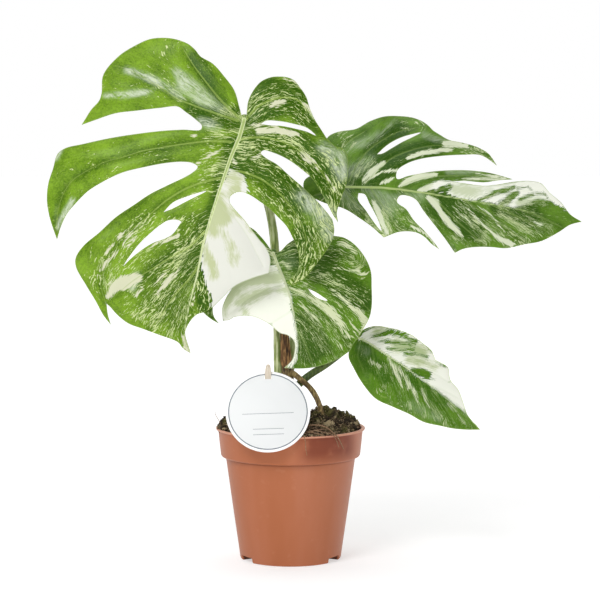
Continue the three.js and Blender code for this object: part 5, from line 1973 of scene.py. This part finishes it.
crumbs = crumb_places(6200, (0.4, 0.5, 0.65, 0.8, 1.1), 0, 55.6)
crumbs += crumb_places(420, (0.4, 0.6, 0.8), 54.5, 59.6, -1.5, -0.92)
crumbs += crumb_places(500, (0.5, 0.7, 1.0), 50, 58.6, 2.75, 3.55)
peat_crumbs = scatter("peat_crumbs", rough_lump("crumb", 1, 3), crumbs)
lumps = crumb_places(150, (1.2, 1.6, 2.1), 0, 53)
lumps += crumb_places(60, (1.1, 1.5, 2.0), 47, 57.5, 2.8, 3.5)
lumps += crumb_places(50, (1.1, 1.5, 2.0), 36, 55, -0.5, 0.6)
peat_lumps = scatter("peat_lumps", rough_lump("lump", 2, 9), lumps)

# %% [markdown]
# ## Fibres
# Coarse peat is full of short fibres. One bent splinter stands for them all: a slim prism that is
# subdivided along its length, so that it can bow. Every fifth lies in the spill at the front.

# %% Fibres
FIBRE_RADIUS = 0.24

pick()
bpy.ops.mesh.primitive_cylinder_add(vertices=3, radius=0.5, depth=2, end_fill_type="NGON")
splinter = name_piece("splinter")
bpy.ops.object.mode_set(mode="EDIT")
bpy.ops.mesh.select_all(action="SELECT")
bpy.ops.mesh.subdivide(number_cuts=2)
bpy.ops.object.mode_set(mode="OBJECT")
for vertex in splinter.data.vertices:
    vertex.co.x += 2.5 * vertex.co.z**2
fibres = []
for number in range(1500):
    if number % 5:
        reach, turn = 56 * math.sqrt(luck.random()), luck.uniform(0, 2 * math.pi)
        x, y = reach * math.cos(turn), reach * math.sin(turn)
    else:
        x, y = luck.gauss(20, 9), luck.gauss(-49, 4)
        x, y = (x, y) if math.hypot(x, y) < 59 else (x * 0.93, y * 0.93)
    height = max(peat_surface(x, y), LIP_TOP if math.hypot(x, y) > 55.5 else 0)
    long = luck.uniform(1.6, 7)
    place = np.array((x, y, height + luck.uniform(0.1, 1.8))) * MM
    stretch = np.array((FIBRE_RADIUS, FIBRE_RADIUS, long / 2)) * MM
    fibres.append((place, random_turn(), stretch, luck.random()))
peat_fibres = scatter("peat_fibres", splinter, fibres)

# %% [markdown]
# ## Damp peat
# Peat is dark brown and rough, nearly black where it is damp, with lighter crumbs of bark and a
# green tinge where moss grows. It is dull, so its roughness is high. Crumbs take their own tone.


# %% Peat materials
def peat_material(name, dark, middle, pale, moss, scale):
    material, shader = new_material(name)
    body = add_node(material, "TexCoord", {})["Object"]
    tone = add_node(material, "Attribute", {}, attribute_name="tone")["Fac"]
    coarse, area = (
        add_node(material, "TexNoise", {"Vector": body, "Scale": size, "Detail": detail})[0]
        for size, detail in ((scale, 6.0), (45.0, 2.0))
    )
    colour = linear(dark)
    for paint, field, low, high, strength in (
        (middle, coarse, 0.45, 0.7, 0.8),
        (middle, tone, 0.3, 0.8, 0.85),
        (moss, area, 0.48, 0.62, 0.6),
        (pale, tone, 0.6, 0.88, 0.85),
        (pale, coarse, 0.62, 0.75, 0.4),
    ):
        colour, _ = glaze(material, colour, paint, field, low, high, strength)
    relief = add_node(material, "Bump", {"Height": coarse, "Strength": 0.9, "Distance": 0.0015})[0]
    set_sockets(shader, {"Base Color": colour, "Normal": relief})
    set_sockets(shader, {"Roughness": 0.9, "Specular IOR Level": 0.25})
    return material


damp_peat = peat_material("damp_peat", "#231b13", "#514330", "#a39272", "#5c5a2c", 420.0)
fibre_brown = peat_material("dry_peat_fibre", "#4c3a2a", "#806650", "#b59a7c", "#655c38", 900.0)
root_tan = peat_material("dry_rootlet", "#8a6e54", "#a88b6d", "#cfb593", "#97815a", 700.0)
finish_piece(peat, damp_peat, "peat", "soil", angle=180)
for extra, material in (
    (peat_crumbs, damp_peat),
    (peat_lumps, damp_peat),
    (peat_fibres, fibre_brown),
):
    finish_piece(extra, material, "peat", angle=20)

# %% [markdown]
# ## Rootlets over the lip
# A few hair-fine roots came up with the peat and dried over the pot's lip at the front right, and
# one stands up at the left. Each is a thin tube, because a root that is modelled can bridge the
# lip and stand off the pot, which a painted line can't.

# %% Rootlets
ROOTLETS = [
    [(6, -46, 111.5, 0.5), (14, -46.5, 113.2, 0.6), (21.6, -47, 113.6, 0.6), (28, -48.5, 112, 0.55),
     (34.4, -50, 107.2, 0.5), (37.8, -47.6, 103, 0.4), (41.9, -41.5, 94, 0.25)],
    [(12, -50, 109, 0.35), (20, -53, 110, 0.35), (27, -54, 108.6, 0.3), (33, -51.5, 106.6, 0.3),
     (36, -49.5, 102, 0.25), (38, -45.5, 96, 0.2)],
    [(9, -52, 108, 0.35), (10.5, -59, 106.6, 0.3), (11.5, -60.1, 103.5, 0.25), (12, -58, 97, 0.25),
     (13, -56.7, 91, 0.15)],
    [(30, -44, 110, 0.35), (22, -52, 110.5, 0.35), (12, -56, 108.5, 0.3), (2, -56, 107.4, 0.25)],
    [(0, -48, 108, 0.3), (8, -51, 110, 0.35), (17, -55.5, 109, 0.35), (26, -54.5, 106.6, 0.3)],
    [(-56, -2, 108, 0.3), (-58.5, 2, 112, 0.25), (-60.5, 4, 115, 0.2), (-61, 2, 118, 0.15)],
]
for number, stops in enumerate(ROOTLETS, 1):
    rootlet = tube(f"rootlet_{number}", stops, sides=8, parts=8)
    finish_piece(rootlet, root_tan, "root")

# %% [markdown]
# ## The card
# The card is a die-cut disc of coated board that leans back on its stick. A cylinder of that
# thickness with a hair of bevel on its edge is enough. It is turned point by point, so that the
# finished piece itself stays unturned.

# %% Card
CARD_CENTRE = (-17.4, -51.3, 124.7)
CARD_LEAN = math.radians(25)
CARD_ROLL = math.radians(2)

pick()
bpy.ops.mesh.primitive_cylinder_add(vertices=160, radius=33 * MM, depth=0.6 * MM)
card = name_piece("round_card")
apply_modifier(card, "BEVEL", width=0.12 * MM, segments=2, limit_method="ANGLE")
card_turn = Matrix.Rotation(math.radians(90) - CARD_LEAN, 3, "X")
card_turn = card_turn @ Matrix.Rotation(CARD_ROLL, 3, "Z")
card_centre = Vector(CARD_CENTRE) * MM
for vertex in card.data.vertices:
    vertex.co = card_turn @ vertex.co + card_centre
print("card points:", len(card.data.vertices))

# %% [markdown]
# ## The stick and its slot
# The stick is a flat strip of birch with a round end. It goes through a slot near the card's top.
# Last, each point of the card keeps its place on the flat disc, for the lines that are drawn on it.

# %% Stick and slot
STICK_X = CARD_CENTRE[0]
STICK_Y = CARD_CENTRE[1] + 11.9
STICK_HALF = 0.6
SLOT_HALF = 0.85
STICK_EDGE = [
    (0.2, 72), (2.5, 73.4), (2.55, 100), (2.55, 148), (2.5, 152), (2.35, 155), (2.1, 157.4),
    (1.7, 159.2), (1.0, 160.3), (0, 160.6),
]
SLOT_EDGE = [(-2.8, 147.5), (2.8, 147.5), (2.8, 151), (-2.8, 151)]

stick_outline = STICK_EDGE + [(-x, z) for x, z in STICK_EDGE[-2::-1]]
stick_outline, slot_outline = (
    [(STICK_X + x, z) for x, z in edge] for edge in (stick_outline, SLOT_EDGE)
)
stick = flat_prism("birch_stick", stick_outline, STICK_Y - STICK_HALF, STICK_Y + STICK_HALF)
apply_modifier(stick, "BEVEL", width=0.15 * MM, segments=2, limit_method="ANGLE")
slot_cutter = flat_prism("slit", slot_outline, STICK_Y - SLOT_HALF, STICK_Y + SLOT_HALF)
combine(card, slot_cutter, "DIFFERENCE")
flat = np.array([(vertex.co - card_centre) @ card_turn for vertex in card.data.vertices]) / MM
card.data.attributes.new("disc", "FLOAT_VECTOR", "POINT").data.foreach_set("vector", flat.ravel())
print("card and stick faces:", len(card.data.polygons), len(stick.data.polygons))

# %% [markdown]
# ## Coated board
# The board is bright white and smooth, with a faint tooth. Its ring and ruled lines are drawn from
# the distances on the disc, so they stay crisp, and only on its front.

# %% Ring and lines
coated_board, shader = new_material("coated_white_board")
disc = add_node(coated_board, "Attribute", {}, attribute_name="disc")["Vector"]
split = add_node(coated_board, "SeparateXYZ", {0: disc})
radius = add_node(coated_board, "VectorMath", {0: disc}, operation="LENGTH")[1]
reach = add_node(coated_board, "Math", {0: split[0]}, operation="ABSOLUTE")[0]
lines = add_node(coated_board, "Math", {0: radius, 1: 30.6, 2: 0.4}, operation="COMPARE")[0]
for height, half in ((-1.5, 20.0), (-14.0, 12.0), (-18.5, 12.0)):
    row = add_node(coated_board, "Math", {0: split[1], 1: height, 2: 0.16}, operation="COMPARE")[0]
    short = add_node(coated_board, "Math", {0: reach, 1: half}, operation="LESS_THAN")[0]
    both = add_node(coated_board, "Math", {0: row, 1: short}, operation="MULTIPLY")[0]
    lines = add_node(coated_board, "Math", {0: lines, 1: both}, operation="MAXIMUM")[0]
front = add_node(coated_board, "Math", {0: split[2], 1: 0.25}, operation="GREATER_THAN")[0]
ink = add_node(coated_board, "Math", {0: lines, 1: front}, operation="MULTIPLY")[0]
print("a ring and three lines of ink")

# %% [markdown]
# ## Board and birch
# The coating is a touch greyer inside the ring than at the rim. The stick is sawn birch: pale,
# with grain lines about 0.6 mm apart that run up it, so it takes the stalks' tissue in pale wood.

# %% Card and stick materials
inside = add_node(
    coated_board, "MapRange", {"Value": radius, "From Min": 30.9, "From Max": 30.75}
)[0]
coating = {0: inside, 6: linear("#fbfbfa"), 7: linear("#e6e8e8")}
coating = add_node(coated_board, "Mix", coating, data_type="RGBA")[2]
printed = {0: ink, 6: coating, 7: linear("#66717b")}
printed = add_node(coated_board, "Mix", printed, data_type="RGBA")[2]
body = add_node(coated_board, "TexCoord", {})["Object"]
tooth = add_node(coated_board, "TexNoise", {"Vector": body, "Scale": 1500.0, "Detail": 3.0})[0]
relief = add_node(coated_board, "Bump", {"Height": tooth, "Strength": 0.1, "Distance": 0.0001})[0]
set_sockets(shader, {"Base Color": printed, "Normal": relief, "Roughness": 0.5})
birch = stalk_tissue("sawn_birch", "#d0c4b2", "#dfd6c8", "#b5a488", (1700, 1700, 40), 0.65, 0.6)
finish_piece(card, coated_board, "card", "tag_card", angle=30)
finish_piece(stick, birch, "stick_wood", "tag_stick", angle=30)
